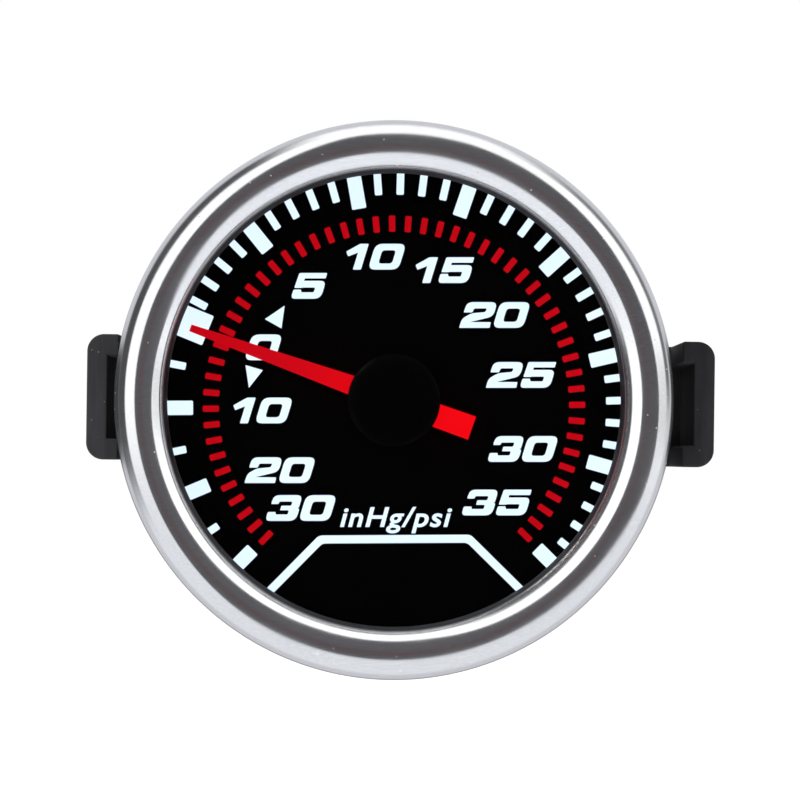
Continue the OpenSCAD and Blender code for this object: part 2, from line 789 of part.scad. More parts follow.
module sector_stops() color("silver") stand_up() {
    for (angle = [90 + sector_left + sector_ahead + stop_angle,
                  90 + sector_right - sector_back - stop_angle])
        translate(sector_centre() + polar(stop_ring_r, angle))
            disc(stop_r, plate_front_rear, rear_plate_front);
}

module tip_pin() color("silver") stand_up() translate(tip_pin_place)
    disc(link_pin_r, link_front - link_pin_over, block_front + tip_pin_sunk);

module tube_tip() color("gold") stand_up() difference() {
    layer(block_front, block_rear) ring_sector(
        tube_ring_r - tube_thin / 2 - tip_side, tube_ring_r + tube_thin / 2 + tip_side,
        tube_end - tip_span, tube_end);
    translate(tip_pin_place) disc(link_pin_r + press_gap, block_front - cut, block_front + tip_pin_sunk);
}

// Section of the flattened tube, standing on the ring's radius
module oval(thin, wide) {
    for (side = [-1, 1]) translate([0, side * (wide - thin) / 2]) circle(thin / 2);
    translate([-thin / 2, -(wide - thin) / 2]) square([thin, wide - thin]);
}

module bourdon_tube() color("peru") stand_up() translate([0, 0, -tube_mid])
    rotate([0, 0, tube_end]) rotate_extrude(angle = tube_start - tube_end)
        translate([tube_ring_r, 0]) difference() {
            oval(tube_thin, tube_wide);
            oval(tube_thin - 2 * tube_wall, tube_wide - 2 * tube_wall);
        }

// A straight drilling in the plane of the tube, from one point to another
module drilling(from, to, r) {
    way = to - from;
    translate([from[0], from[1], -tube_mid]) rotate([0, 90, atan2(way[1], way[0])])
        cylinder(h = norm(way), r = r);
}

module socket_block() color("goldenrod") stand_up() difference() {
    union() {
        layer(block_front, block_rear) {
            translate([-block_half_w, -foot_in_r - cut])
                square([2 * block_half_w, foot_in_r + cut + block_up]);
            ring_sector(foot_in_r, foot_out_r, tube_start, foot_end);
        }
        disc(boss_outer_r, block_rear, case_floor);
    }
    disc(inlet_r + press_gap, case_floor - inlet_sunk, case_floor + cut);
    disc(passage_r, tube_mid, case_floor);
    drilling([0, 0], [0, -tube_ring_r], cross_r);
    drilling([0, -tube_ring_r], polar(tube_ring_r, tube_start), cross_r);
    for (side = [-1, 1]) translate([side * block_screw_x, -block_screw_drop])
        disc(block_screw_r + press_gap, block_front - cut, block_front + block_screw_l);
}

module block_screws() color("silver") stand_up() for (side = [-1, 1])
    translate([side * block_screw_x, -block_screw_drop]) {
        disc(block_screw_head_r, rear_plate_front - screw_head_t, rear_plate_front);
        disc(block_screw_r, rear_plate_front, block_front + block_screw_l);
    }

// Points of the hairspring's centre line, growing evenly from its collet to its stud
function spring_point(i, side) =
    let (k = i / (spring_turns * spring_steps),
         r = spring_in_r + spring_t / 2 + (spring_out_r - spring_in_r - spring_t / 2) * k)
    polar(r + side * spring_t / 2, spring_stud_angle - 360 * spring_turns * (1 - k));

module hairspring() color("steelblue") stand_up() layer(spring_front, spring_front + spring_w)
    polygon(concat(
        [for (i = [0 : spring_turns * spring_steps]) spring_point(i, -1)],
        [for (i = [spring_turns * spring_steps : -1 : 0]) spring_point(i, 1)]
    ));

module hairspring_stud() color("gold") stand_up()
    translate(polar(spring_stud_ring, spring_stud_angle))
        disc(spring_stud_r, spring_front - collet_over, rear_plate_front);

module hairspring_collet() color("gold") stand_up()
    disc(collet_r, spring_front - collet_over, spring_front + spring_w + collet_over / 2,
        arbor_r + press_gap);

module pointer_blade() color("red") stand_up() layer(blade_depth, blade_rear)
    rotate(rest_angle) difference() {
        union() {
            polygon([
                [tip_reach, -tip_w / 2], [tip_reach, tip_w / 2], [0, blade_w / 2],
                [-tail_reach, tail_w / 2], [-tail_reach, -tail_w / 2], [0, -blade_w / 2]
            ]);
            circle(boss_r);
        }
        circle(blade_hole_r + press_gap);
    }

module pointer_hub_cap() color([0.03, 0.03, 0.03]) stand_up() difference() {
    rotate_extrude() polygon(concat(
        [[0, -blade_depth], [cap_r, -blade_depth]],
        [for (p = arc(cap_edge_r, 0, 90, 6))
            [cap_r - cap_edge_r, cap_h - cap_edge_r - blade_depth] + p],
        [[0, cap_h - blade_depth]]
    ));
    disc(blade_hole_r + press_gap, blade_depth - cap_socket, blade_depth + cut);
}

module pointer_boss() color("gold") stand_up() difference() {
    union() {
        disc(boss_r, blade_rear, boss_rear);
        disc(blade_hole_r, blade_depth - boss_nose, blade_rear);
    }
    disc(pivot_r + press_gap, blade_depth - cap_socket - cut, boss_rear + cut);
}

module inlet_washer() color("silver") stand_up()
    disc(inlet_washer_r, case_depth, case_depth + inlet_washer_t, inlet_r + fit_gap);

module inlet_lock_nut() color("goldenrod") stand_up()
    layer(case_depth + inlet_washer_t, lock_nut_rear) difference() {
        hexagon(lock_nut_af);
        circle(inlet_r + press_gap);
    }

// Stem with cone-shaped barbs that widen towards the gauge
function barb_points() = [for (i = [0 : barb_count - 1]) each [
    [barb_r, -(stem_front + stem_lead + i * barb_l)],
    [stem_r, -(stem_front + stem_lead + (i + 1) * barb_l)]
]];

module inlet_fitting() color("gold") stand_up() difference() {
    union() {
        disc(inlet_r, case_floor - inlet_sunk, inlet_hex_front);
        layer(inlet_hex_front, stem_front) hexagon(inlet_hex_af);
        rotate_extrude() polygon(concat(
            [[0, -stem_front], [stem_r, -stem_front], [stem_r, -(stem_front + stem_lead)]],
            barb_points(), [[0, -stem_rear]]
        ));
    }
    disc(passage_r, case_floor - inlet_sunk - cut, stem_rear + cut);
}

module at_studs() for (side = [-1, 1]) translate([side * stud_x, 0]) children();

module mounting_studs() color("silver") stand_up() at_studs() {
    disc(stud_head_r, case_floor - stud_head_t, case_floor);
    disc(stud_r, case_floor, stud_rear);
}

module stud_base_nuts() color("silver") stand_up() at_studs()
    layer(case_depth, case_depth + base_nut_t) difference() {
        hexagon(base_nut_af);
        circle(stud_r + stud_hole_gap);
    }

module wire_grommet() color([0.06, 0.06, 0.06]) stand_up() translate([0, -grommet_drop]) {
    disc(grommet_flange_r, case_floor - grommet_inner_t, case_floor, grommet_hole_r);
    disc(grommet_neck_r, case_floor, case_depth, grommet_hole_r);
    disc(grommet_flange_r, case_depth, case_depth + grommet_flange_t, grommet_hole_r);
}

// Side view of the U, with X across and the depth downwards
module strap_profile() {
    polygon(concat(
        [[-strap_half_w, -panel_t]],
        [for (p = arc(strap_round, 180, 270, 8))
            [strap_round - strap_half_w, strap_round - strap_rear] + p],
        [for (p = arc(strap_round, -90, 0, 8))
            [strap_half_w - strap_round, strap_round - strap_rear] + p],
        [[strap_half_w, -panel_t], [leg_in_x, -panel_t], [leg_in_x, -strap_front + leg_fillet],
         [leg_in_x - leg_fillet, -strap_front]],
        [[leg_fillet - leg_in_x, -strap_front], [-leg_in_x, -strap_front + leg_fillet],
         [-leg_in_x, -panel_t]]
    ));
}

// A hole drawn out sideways by half_l each way
module slot(r, half_l) {
    for (side = [-1, 1]) translate([side * half_l, 0]) circle(r);
    square([2 * half_l, 2 * r], center = true);
}

// The strap sits a little off centre and turned, as far as its slots let it
module mounting_strap() color([0.14, 0.14, 0.15]) stand_up()
    translate([strap_shift, 0, 0]) rotate(-strap_roll) strap();

module strap() difference() {
    union() {
        intersection() {
            rotate([90, 0, 0]) translate([0, 0, -strap_h / 2])
                linear_extrude(strap_h) strap_profile();
            layer(panel_t - cut, strap_rear + cut) offset(leg_round_r)
                square([strap_w, strap_h] - 2 * leg_round_r * [1, 1], center = true);
        }
        disc(strap_pad_r, strap_front, strap_rear);
    }
    for (side = [-1, 1]) layer(panel_t - cut, strap_front)
        translate([side * (strap_half_w - leg_wall - leg_w / 2), 0])
            square([leg_w, strap_h - 2 * strap_side_wall], center = true);
    disc(strap_hole_r, strap_front - cut, strap_rear + cut);
    at_studs() layer(strap_front - cut, strap_rear + cut) slot(stud_r + strap_stud_gap, strap_slot);
}

module lock_washers() color("silver") stand_up() at_studs()
    disc(washer_r, strap_rear, washer_rear, stud_r + strap_stud_gap);

module thumb_nut() {
    disc(thumb_collar_r, washer_rear, washer_rear + thumb_collar_h, stud_r + stud_hole_gap);
    layer(washer_rear + thumb_collar_h, thumb_rear) difference() {
        circle(thumb_r);
        circle(stud_r + stud_hole_gap);
        for (i = [0 : knurl_count - 1]) rotate(i * 360 / knurl_count)
            translate([thumb_r, 0]) circle(knurl_r);
    }
}

module thumb_nut_left() color("silver") stand_up() translate([-stud_x, 0]) thumb_nut();

module thumb_nut_right() color("silver") stand_up() translate([stud_x, 0]) thumb_nut();

case_can();
bezel_ring();
lens();
lens_seal();
dial_spacer_ring();
dial_plate();
scale_white_marks();
scale_red_marks();
scale_numerals();
dial_border_line();
light_guide();
lamp_board();
lamp_leds();
inner_sleeve();
movement_front_plate();
movement_rear_plate();
movement_pillars();
movement_screws();
socket_block();
block_screws();
bourdon_tube();
hairspring();
hairspring_stud();
sector_stops();
inlet_fitting();
inlet_washer();
inlet_lock_nut();
mounting_studs();
stud_base_nuts();
wire_grommet();
pointer_blade();
pointer_hub_cap();
pointer_boss();
pointer_arbor();
pinion();
hairspring_collet();
sector_gear();
sector_arbor();
tail_pin();
link_bar();
tube_tip();
tip_pin();
mounting_strap();
lock_washers();
thumb_nut_left();
thumb_nut_right();
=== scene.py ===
# %% [markdown]
# A boost and vacuum gauge for a dashboard, dressed for a studio photograph. The measured model
# comes first: every solid, joint and size is settled there, and this lesson adds the looks
# round it. The gauge's axis runs along Y, its dial faces -Y and twelve o'clock is +Z.

# %% Load the measured frame
import json
import math
import bpy
import bmesh
from mathutils import Matrix, Vector

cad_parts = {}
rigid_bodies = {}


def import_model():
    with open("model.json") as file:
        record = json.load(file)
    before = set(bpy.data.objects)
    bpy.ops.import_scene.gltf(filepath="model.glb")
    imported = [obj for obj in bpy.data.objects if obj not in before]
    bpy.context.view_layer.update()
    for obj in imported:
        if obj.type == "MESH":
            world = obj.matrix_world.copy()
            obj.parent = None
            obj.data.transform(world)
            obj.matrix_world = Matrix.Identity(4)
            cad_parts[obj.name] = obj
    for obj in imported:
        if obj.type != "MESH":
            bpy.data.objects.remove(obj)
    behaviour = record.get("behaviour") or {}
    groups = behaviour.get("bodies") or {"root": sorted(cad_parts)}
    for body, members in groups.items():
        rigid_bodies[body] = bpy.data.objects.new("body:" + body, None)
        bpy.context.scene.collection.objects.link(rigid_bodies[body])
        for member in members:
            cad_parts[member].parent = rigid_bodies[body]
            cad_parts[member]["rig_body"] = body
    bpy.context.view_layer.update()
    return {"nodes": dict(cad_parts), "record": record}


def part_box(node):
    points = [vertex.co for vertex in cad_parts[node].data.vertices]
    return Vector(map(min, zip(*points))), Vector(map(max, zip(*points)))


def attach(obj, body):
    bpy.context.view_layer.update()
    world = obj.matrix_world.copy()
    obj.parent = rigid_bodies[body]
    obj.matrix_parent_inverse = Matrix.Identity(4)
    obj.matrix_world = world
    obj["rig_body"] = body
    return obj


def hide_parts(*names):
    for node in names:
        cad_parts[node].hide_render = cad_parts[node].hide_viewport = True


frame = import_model()
nodes = frame["nodes"]
slot_of = {part["node"]: part["material_slot"] for part in frame["record"]["subparts"]}

# %% [markdown]
# The photograph was taken nearly square on, from about 0.7 m. The edges of the strap's legs
# run away to a point a little below the dial's middle, so the camera stood that much lower
# and looked up by half a degree. A focal length follows from how wide the view is at the
# bezel's mid plane, and a small step to the right leaves the dial a little left of the middle.

# %% The camera
MM = 0.001
SENSOR = 36
camera_distance = 0.7
bezel_plane = -4.4 * MM
view_width = 85.71 * MM
axis_offset = 0.643 * MM
camera_drop = 6.2 * MM

camera = bpy.data.objects.new("camera", bpy.data.cameras.new("camera"))
bpy.context.scene.collection.objects.link(camera)
camera.location = (axis_offset, -camera_distance, -camera_drop)
look_up = math.atan2(camera_drop, camera_distance + bezel_plane)
camera.rotation_euler = (math.radians(90) + look_up, 0, 0)
camera.data.sensor_width = SENSOR
camera.data.lens = SENSOR * (camera_distance + bezel_plane) / view_width
camera.data.clip_start = 0.01
bpy.context.scene.camera = camera
bpy.context.scene.view_settings.view_transform = "Standard"
print("focal length:", round(camera.data.lens, 1), "mm")

# %% [markdown]
# Node trees read more easily when one short helper adds a node, sets its sockets and links
# what feeds it. A value that is a socket is linked, and any other value is set. Sockets are
# named, or numbered i0, i1 and so on where two share a name.

# %% A helper for node trees
def node(tree, kind, settings=None, **inputs):
    made = tree.nodes.new("ShaderNode" + kind)
    for key, value in (settings or {}).items():
        setattr(made, key, value)
    for key, value in inputs.items():
        by_number = key[1:].isdigit()
        socket = made.inputs[int(key[1:]) if by_number else key.replace("_", " ")]
        if isinstance(value, bpy.types.NodeSocket):
            tree.links.new(value, socket)
        else:
            socket.default_value = value
    return made


def maths(tree, operation, a, b=0.0, c=0.0, clamp=False):
    made = node(tree, "Math", {"operation": operation, "use_clamp": clamp}, i0=a, i1=b, i2=c)
    return made.outputs[0]


def ramp(tree, value, low, high, from_low=0.0, from_high=1.0, smooth=True):
    """value runs from low to high while it goes from from_low to from_high."""
    kind = "SMOOTHSTEP" if smooth else "LINEAR"
    made = node(tree, "MapRange", {"interpolation_type": kind}, Value=value,
                From_Min=from_low, From_Max=from_high, To_Min=low, To_Max=high)
    return made.outputs[0]


def blended(tree, factor, a, b):
    """Colour a where factor is 0 and b where it is 1."""
    made = node(tree, "Mix", {"data_type": "RGBA"}, i0=factor, i6=a, i7=b)
    return made.outputs[2]


def tinted(level, tint=(1, 1, 1)):
    """A colour of a brightness, with a tint as three factors."""
    return tuple(level * share for share in tint) + (1,)


# %% [markdown]
# Polished metal looks like what surrounds it, so the studio is the bezel's real paint. Each
# flank of the ring mirrors half of the room, and the photograph's bands, read from both
# flanks, draw the same picture: a dark opening round the camera with four nearly straight
# edges, a white panel to the left, one above and one to the right, a white table below, and
# light walls behind. A world shader holds that picture as a function of direction, with no
# noise. Slopes from the camera's axis, sideways and upwards, make the edges straight lines.
# Dark gaps part the panels from the walls, the wall's lower part straight behind is dimmer,
# and a dark patch to each side stands for the strap's ends, which the rim mirrors.

# %% The studio's directions
world = bpy.data.worlds.new("studio")
bpy.context.scene.world = world
world.use_nodes = True
tree = world.node_tree
tree.nodes.clear()
direction = node(tree, "TexCoord").outputs["Generated"]
dx, dy, dz = node(tree, "SeparateXYZ", Vector=direction).outputs
least_ahead, least_reach = 0.02, 0.001
ahead = maths(tree, "MAXIMUM", maths(tree, "MULTIPLY", dy, -1.0), least_ahead)
sideways = maths(tree, "DIVIDE", dx, ahead)
upwards = maths(tree, "DIVIDE", dz, ahead)
from_axis = maths(tree, "DEGREES", maths(tree, "ARCCOSINE", maths(tree, "MULTIPLY", dy, -1.0)))
reach = node(tree, "VectorMath", {"operation": "LENGTH"},
             i0=node(tree, "CombineXYZ", X=dx, Z=dz).outputs[0]).outputs[1]
reach = maths(tree, "MAXIMUM", reach, least_reach)
across = maths(tree, "DIVIDE", dx, reach)
rise = maths(tree, "DIVIDE", dz, reach)
print("world nodes:", len(tree.nodes))

# %% The dark opening, the panels and the gaps behind them
left_edge, left_bulge = -0.475, -0.15
right_edge, right_lean = 1.22, 0.48
low_edge, high_edge = -0.515, 1.53
soft = 0.04
opening_light = 0.12
panel_light, table_light, wall_light = 1.5, 1.04, 0.78
table_tint, wall_tint = (0.98, 1, 1.04), (1, 1, 1.05)
table_rise = (-0.45, 0.05)
seam_across, seam_out = (0.975, 0.995), (40, 60)
wall_start = (96, 116)
window_start, window_rise, window_tone = (135, 160), (-0.05, 0.25), (0.3, 0.3, 0.31, 1)
gap_start, gap_end = (77, 84), (106, 118)
gap_skew, gap_tone = 10, (0.1, 0.1, 0.105, 1)
left_gap_across, left_gap_rise = (-0.55, -0.2), (-0.5, -0.15)
right_gap_across, right_gap_rise = (0.3, 0.75), (-0.1, 0.08)
seam_share, right_gap_share = 0.35, 0.9
patch_rise, patch_start = (0.17, 0.24), (110, 122)
patch_skew, patch_tone = 7, (0.05, 0.05, 0.052, 1)
camera_side = (4, 14)
opening_tint, camera_tint = (1.03, 1, 1.07), (1.1, 0.86, 0.9)


def inside(value, edge, sign):
    """1 where the value is past the edge in the sign's direction, with a soft step."""
    return ramp(tree, value, 0.0, 1.0, edge - sign * soft, edge + sign * soft)


left_slope = maths(tree, "MULTIPLY_ADD", maths(tree, "ABSOLUTE", upwards), left_bulge, sideways)
right_slope = maths(tree, "MULTIPLY_ADD", upwards, right_lean, sideways)
opening = inside(left_slope, left_edge, 1)
for value, edge, sign in ((upwards, low_edge, 1), (upwards, high_edge, -1),
                          (right_slope, right_edge, -1)):
    opening = maths(tree, "MULTIPLY", opening, inside(value, edge, sign))
light = blended(tree, ramp(tree, rise, 0.0, 1.0, *table_rise),
                tinted(table_light, table_tint), tinted(panel_light))
seam = maths(tree, "MULTIPLY", ramp(tree, across, 0.0, seam_share, *seam_across),
             ramp(tree, from_axis, 0.0, 1.0, *seam_out))
light = blended(tree, seam, light, (0, 0, 0, 1))
behind = ramp(tree, from_axis, 0.0, 1.0, *wall_start)
light = blended(tree, behind, light, tinted(wall_light, wall_tint))
far_behind = ramp(tree, from_axis, 0.0, 1.0, *window_start)
window = maths(tree, "MULTIPLY", far_behind, ramp(tree, dz, 1.0, 0.0, *window_rise))
light = blended(tree, window, light, window_tone)
skewed = maths(tree, "MULTIPLY_ADD", across, -gap_skew, from_axis)
gap = maths(tree, "MULTIPLY", ramp(tree, skewed, 0.0, 1.0, *gap_start),
            ramp(tree, from_axis, 1.0, 0.0, *gap_end))
left_gap = maths(tree, "MULTIPLY", ramp(tree, across, 1.0, 0.0, *left_gap_across),
                 ramp(tree, rise, 0.0, 1.0, *left_gap_rise))
right_gap = maths(tree, "MULTIPLY", ramp(tree, across, 0.0, right_gap_share, *right_gap_across),
                  ramp(tree, rise, 0.0, 1.0, *right_gap_rise))
gap = maths(tree, "MULTIPLY", gap, maths(tree, "ADD", left_gap, right_gap))
light = blended(tree, gap, light, gap_tone)
level = ramp(tree, maths(tree, "ABSOLUTE", rise), 1.0, 0.0, *patch_rise)
patch = maths(tree, "MULTIPLY_ADD", across, -patch_skew, from_axis)
patch = maths(tree, "MULTIPLY", level, ramp(tree, patch, 0.0, 1.0, *patch_start))
light = blended(tree, patch, light, patch_tone)
near_camera = ramp(tree, from_axis, 1.0, 0.0, *camera_side)
opening_tone = blended(tree, near_camera, tinted(opening_light, opening_tint),
                       tinted(opening_light, camera_tint))
light = blended(tree, opening, light, opening_tone)
print("world nodes:", len(tree.nodes))

# %% [markdown]
# The room's light on matt things is set apart from the picture in the mirrors: an even glow
# that is stronger from the left and from behind, so that the strap's faces and its hollows
# can be as dark as they were. The camera itself looks into plain white.

# %% Light by the kind of ray
matt_light, matt_lean, matt_behind = 0.6, 0.42, 0.5
rays = node(tree, "LightPath").outputs
matt = maths(tree, "MULTIPLY_ADD", dx, -matt_lean, matt_light)
matt = maths(tree, "MULTIPLY_ADD", dy, matt_behind, matt)
light = blended(tree, rays["Is Diffuse Ray"], light, matt)
lit = node(tree, "Background", Color=light)
shown = node(tree, "Background", Color=(1, 1, 1, 1), Strength=1.0)
mix = node(tree, "MixShader", i0=rays["Is Camera Ray"], i1=lit.outputs[0], i2=shown.outputs[0])
node(tree, "OutputWorld", Surface=mix.outputs[0])
print("world nodes:", len(tree.nodes))

# %% [markdown]
# One soft lamp stands close, to the left and above, so the strap's left end gets about twice
# the light of the right one, as in the photograph. It isn't seen in mirrors, because the
# walls already hold the shapes that the bezel reflects.

# %% The key lamp
key = bpy.data.objects.new("key_lamp", bpy.data.lights.new("key_lamp", "AREA"))
bpy.context.scene.collection.objects.link(key)
key.data.shape = "DISK"
key.data.size = 0.12
key.data.energy = 0.55
key.location = (-0.17, -0.13, 0.17)
key.rotation_euler = (-key.location).to_track_quat("-Z", "Y").to_euler()
key.visible_glossy = False

# %% [markdown]
# The floor is a wide pale sheet. Some light of its own keeps it as white as the paper sweep
# of the photograph, while shadows still show on it. Mirrors see the world's white table in
# its place, so that the bands on the bezel don't hang on how high the gauge floats.

# %% The floor
floor_level = -0.05
floor_half = 3.0

bm = bmesh.new()
bmesh.ops.create_grid(bm, x_segments=8, y_segments=8, size=floor_half)
bmesh.ops.translate(bm, verts=bm.verts, vec=(0, 0, floor_level))
floor_mesh = bpy.data.meshes.new("floor")
bm.to_mesh(floor_mesh)
bm.free()
floor = bpy.data.objects.new("floor", floor_mesh)
bpy.context.scene.collection.objects.link(floor)
floor.visible_glossy = False
floor.visible_transmission = False

paper = bpy.data.materials.new("floor_paper")
paper.use_nodes = True
tree = paper.node_tree
shader = tree.nodes["Principled BSDF"]
fibre = node(tree, "TexNoise", Vector=node(tree, "TexCoord").outputs["Object"], Scale=40.0,
             Detail=4.0)
tree.links.new(blended(tree, fibre.outputs[0], (0.84, 0.845, 0.85, 1), (0.88, 0.88, 0.88, 1)),
               shader.inputs["Base Color"])
shader.inputs["Roughness"].default_value = 0.9
shader.inputs["Specular IOR Level"].default_value = 0.1
shader.inputs["Emission Color"].default_value = (1, 1, 1, 1)
shader.inputs["Emission Strength"].default_value = 0.5
floor.data.materials.append(paper)

# %% [markdown]
# Effects that several finishes share are node groups: brushing, fine grain, dust and hair
# scratches. Each gets a place on the object in metres and gives back heights and masks, so
# one group serves steel, brass and plastic with different values. Noise hardly leaves the
# range from 0.3 to 0.7, so most ramps read that part of it.

# %% A helper for node groups
NOISE = (0.3, 0.7)


def effect(name, inputs, outputs):
    """A new node group, with its input node's sockets by name and its output node."""
    group = bpy.data.node_groups.new(name, "ShaderNodeTree")
    for label, value in inputs.items():
        kind = "NodeSocketVector" if label == "Place" else "NodeSocketFloat"
        socket = group.interface.new_socket(name=label, in_out="INPUT", socket_type=kind)
        if label != "Place":
            socket.default_value = value
    for label in outputs:
        group.interface.new_socket(name=label, in_out="OUTPUT", socket_type="NodeSocketFloat")
    given = group.nodes.new("NodeGroupInput").outputs
    return group, {s.name: s for s in given if s.name}, group.nodes.new("NodeGroupOutput")


def use(tree, group, place, **values):
    made = tree.nodes.new("ShaderNodeGroup")
    made.node_tree = group
    tree.links.new(place, made.inputs["Place"])
    for key, value in values.items():
        made.inputs[key.replace("_", " ")].default_value = value
    return made.outputs


def stretched(tree, place, scale, turn=0.0):
    """The place scaled by three factors, and turned about Y first by some degrees."""
    turned = node(tree, "VectorRotate", {"rotation_type": "Y_AXIS"}, Vector=place,
                  Angle=math.radians(turn)).outputs[0] if turn else place
    return node(tree, "VectorMath", {"operation": "MULTIPLY"}, i0=turned, i1=scale).outputs[0]


# %% [markdown]
# Brushing leaves straight, nearly parallel lines. Noise that is squeezed along X and fine
# along the other ways gives lines of all lengths, and a broad second noise lets patches of
# them fade, as a worn brush does.

# %% Brushing
brushing, given, out = effect("brushing", {"Place": None, "Fineness": 5000.0, "Length": 90.0},
                              ["Lines", "Patches"])
tree = brushing
squeeze = node(tree, "CombineXYZ", X=given["Length"], Y=given["Fineness"], Z=given["Fineness"])
lines = node(tree, "TexNoise", Vector=node(tree, "VectorMath", {"operation": "MULTIPLY"},
             i0=given["Place"], i1=squeeze.outputs[0]).outputs[0], Scale=1.0, Detail=3.0,
             Roughness=0.65)
patch_scale = (120, 260, 260)
patches = node(tree, "TexNoise", Vector=stretched(tree, given["Place"], patch_scale),
               Scale=1.0, Detail=3.0, Roughness=0.55)
tree.links.new(lines.outputs[0], out.inputs["Lines"])
tree.links.new(patches.outputs[0], out.inputs["Patches"])
print("group:", brushing.name)

# %% [markdown]
# Dust is a few tiny round specks, one in some of the cells of a Voronoi pattern. Hair
# scratches are the thin level lines of a slanted, stretched noise, kept where a second noise
# is high, so that they come and go.

# %% Dust and hair scratches
marks, given, out = effect("dust_and_scratches", {"Place": None, "Cells": 420.0,
                                                  "Speck": 0.07, "Share": 0.25},
                           ["Dust", "Scratches"])
tree = marks
cells = node(tree, "TexVoronoi", Vector=given["Place"], Scale=given["Cells"])
draw = node(tree, "SeparateColor", Color=cells.outputs["Color"]).outputs[0]
some = maths(tree, "LESS_THAN", draw, given["Share"])
dots = maths(tree, "LESS_THAN", cells.outputs["Distance"], given["Speck"])
tree.links.new(maths(tree, "MULTIPLY", dots, some), out.inputs["Dust"])
hair_scale, hair_slant, hair_width = (70, 1500, 1500), 24, 0.012
hairs_kept = (0.55, 0.62)
slant = node(tree, "TexNoise", Vector=stretched(tree, given["Place"], hair_scale, hair_slant),
             Scale=1.0, Detail=1.0, Distortion=0.3)
near = maths(tree, "ABSOLUTE", maths(tree, "SUBTRACT", slant.outputs[0], 0.5))
thin = ramp(tree, near, 1.0, 0.0, 0.0, hair_width)
where = node(tree, "TexNoise", Vector=given["Place"], Scale=180.0, Detail=1.0)
kept = ramp(tree, where.outputs[0], 0.0, 1.0, *hairs_kept)
tree.links.new(maths(tree, "MULTIPLY", thin, kept), out.inputs["Scratches"])
print("group:", marks.name)

# %% [markdown]
# Moulded plastic, paint and rubber carry a fine pebbled grain. Two sizes of noise give the
# grain's height, and a slow one gives the faint change of tone over a moulding.

# %% Grain
grain, given, out = effect("grain", {"Place": None, "Fineness": 6000.0}, ["Height", "Tone"])
tree = grain
pebbles = node(tree, "TexNoise", Vector=given["Place"], Scale=given["Fineness"], Detail=2.0,
               Roughness=0.6)
tone = node(tree, "TexNoise", Vector=given["Place"], Scale=90.0, Detail=4.0, Roughness=0.6)
tree.links.new(pebbles.outputs[0], out.inputs["Height"])
tree.links.new(tone.outputs[0], out.inputs["Tone"])
print("group:", grain.name)

# %% [markdown]
# Each finish below is one function, so metals differ only in colour, brushing and polish, and
# plastics only in colour, grain and sheen.

# %% Finishes: metals
finishes = {}
BRUSH_DEPTH = 0.0000012


def blank(name):
    material = bpy.data.materials.new(name)
    material.use_nodes = True
    tree = material.node_tree
    place = node(tree, "TexCoord").outputs["Object"]
    finishes[name] = material
    return tree, tree.nodes["Principled BSDF"], place


def bumped(tree, shader, height, depth):
    bump = node(tree, "Bump", Height=height, Distance=depth, Strength=1.0)
    tree.links.new(bump.outputs[0], shader.inputs["Normal"])


def metal(name, colour, rough=(0.22, 0.32), dull=0.85):
    """Turned or drawn metal. dull is how much darker its worn patches are."""
    dust_tone, dust_cover, scratch_depth = (0.3, 0.29, 0.27, 1), 0.5, 1.5
    tree, shader, place = blank(name)
    lines = use(tree, brushing, place, Fineness=5000.0, Length=300.0)
    worn = use(tree, marks, place, Cells=500.0, Speck=0.05, Share=0.12)
    dark = tuple(c * dull for c in colour) + (1,)
    shade = blended(tree, ramp(tree, lines["Patches"], 0.0, 1.0, *NOISE), dark, colour + (1,))
    shade = blended(tree, maths(tree, "MULTIPLY", worn["Dust"], dust_cover), shade, dust_tone)
    tree.links.new(shade, shader.inputs["Base Color"])
    tree.links.new(ramp(tree, lines["Lines"], *rough, *NOISE),
                   shader.inputs["Roughness"])
    shader.inputs["Metallic"].default_value = 1.0
    cut = maths(tree, "MULTIPLY", worn["Scratches"], scratch_depth)
    bumped(tree, shader, maths(tree, "SUBTRACT", lines["Lines"], cut), BRUSH_DEPTH)


metal("steel", (0.62, 0.62, 0.63))
metal("brass", (0.80, 0.58, 0.25), dull=0.78)
metal("bronze_tube", (0.72, 0.42, 0.22))
metal("blue_steel", (0.16, 0.24, 0.42), rough=(0.15, 0.3))
print("metals:", sorted(finishes))

# %% [markdown]
# The bezel is polished steel that was brushed once, lightly, straight across, so its
# reflections stay sharp sideways and smear up and down. Anisotropic shine does that: it
# spreads along a tangent that lies square to the brush lines, which is the surface's own
# normal crossed with X. Faint lines, smudges, dust and scratches break the mirror. The inner
# flank's colour is a little brighter than the outer one's: a painted highlight. Where the ring
# rolls in over the lens, the steel is rougher and its colour is darker: a painted shade.

# %% Finishes: the brushed bezel
lip_shade = (24.65, 24.95)
crown_r, painted_highlight_gain = (26.1, 27.7), (1.1, 0.97)
line_tones = (0.69, 0.695, 0.71, 1), (0.745, 0.75, 0.765, 1)
smudge_tone, scratch_tone = (0.6, 0.6, 0.62, 1), (0.95, 0.95, 0.95, 1)
dust_tone, lip_shade_tone = (0.98, 0.97, 0.95, 1), (0.07, 0.071, 0.077, 1)
smudge_scale = (160, 500, 700)
smudge_cover, scratch_cover, dust_cover = 0.25, 0.4, 0.85
polish_range, dust_rough, lip_rough = (0.13, 0.18), 0.8, 0.5
tree, shader, place = blank("brushed_steel")
lines = use(tree, brushing, place, Fineness=7000.0, Length=500.0)
worn = use(tree, marks, place, Cells=900.0, Speck=0.07, Share=0.4)
smudge = node(tree, "TexNoise", Vector=stretched(tree, place, smudge_scale), Scale=1.0,
              Detail=5.0, Roughness=0.7).outputs[0]
shade = blended(tree, ramp(tree, lines["Lines"], 0.0, 1.0, *NOISE), *line_tones)
smudged = ramp(tree, smudge, 0.0, 1.0, 0.55, 0.8)
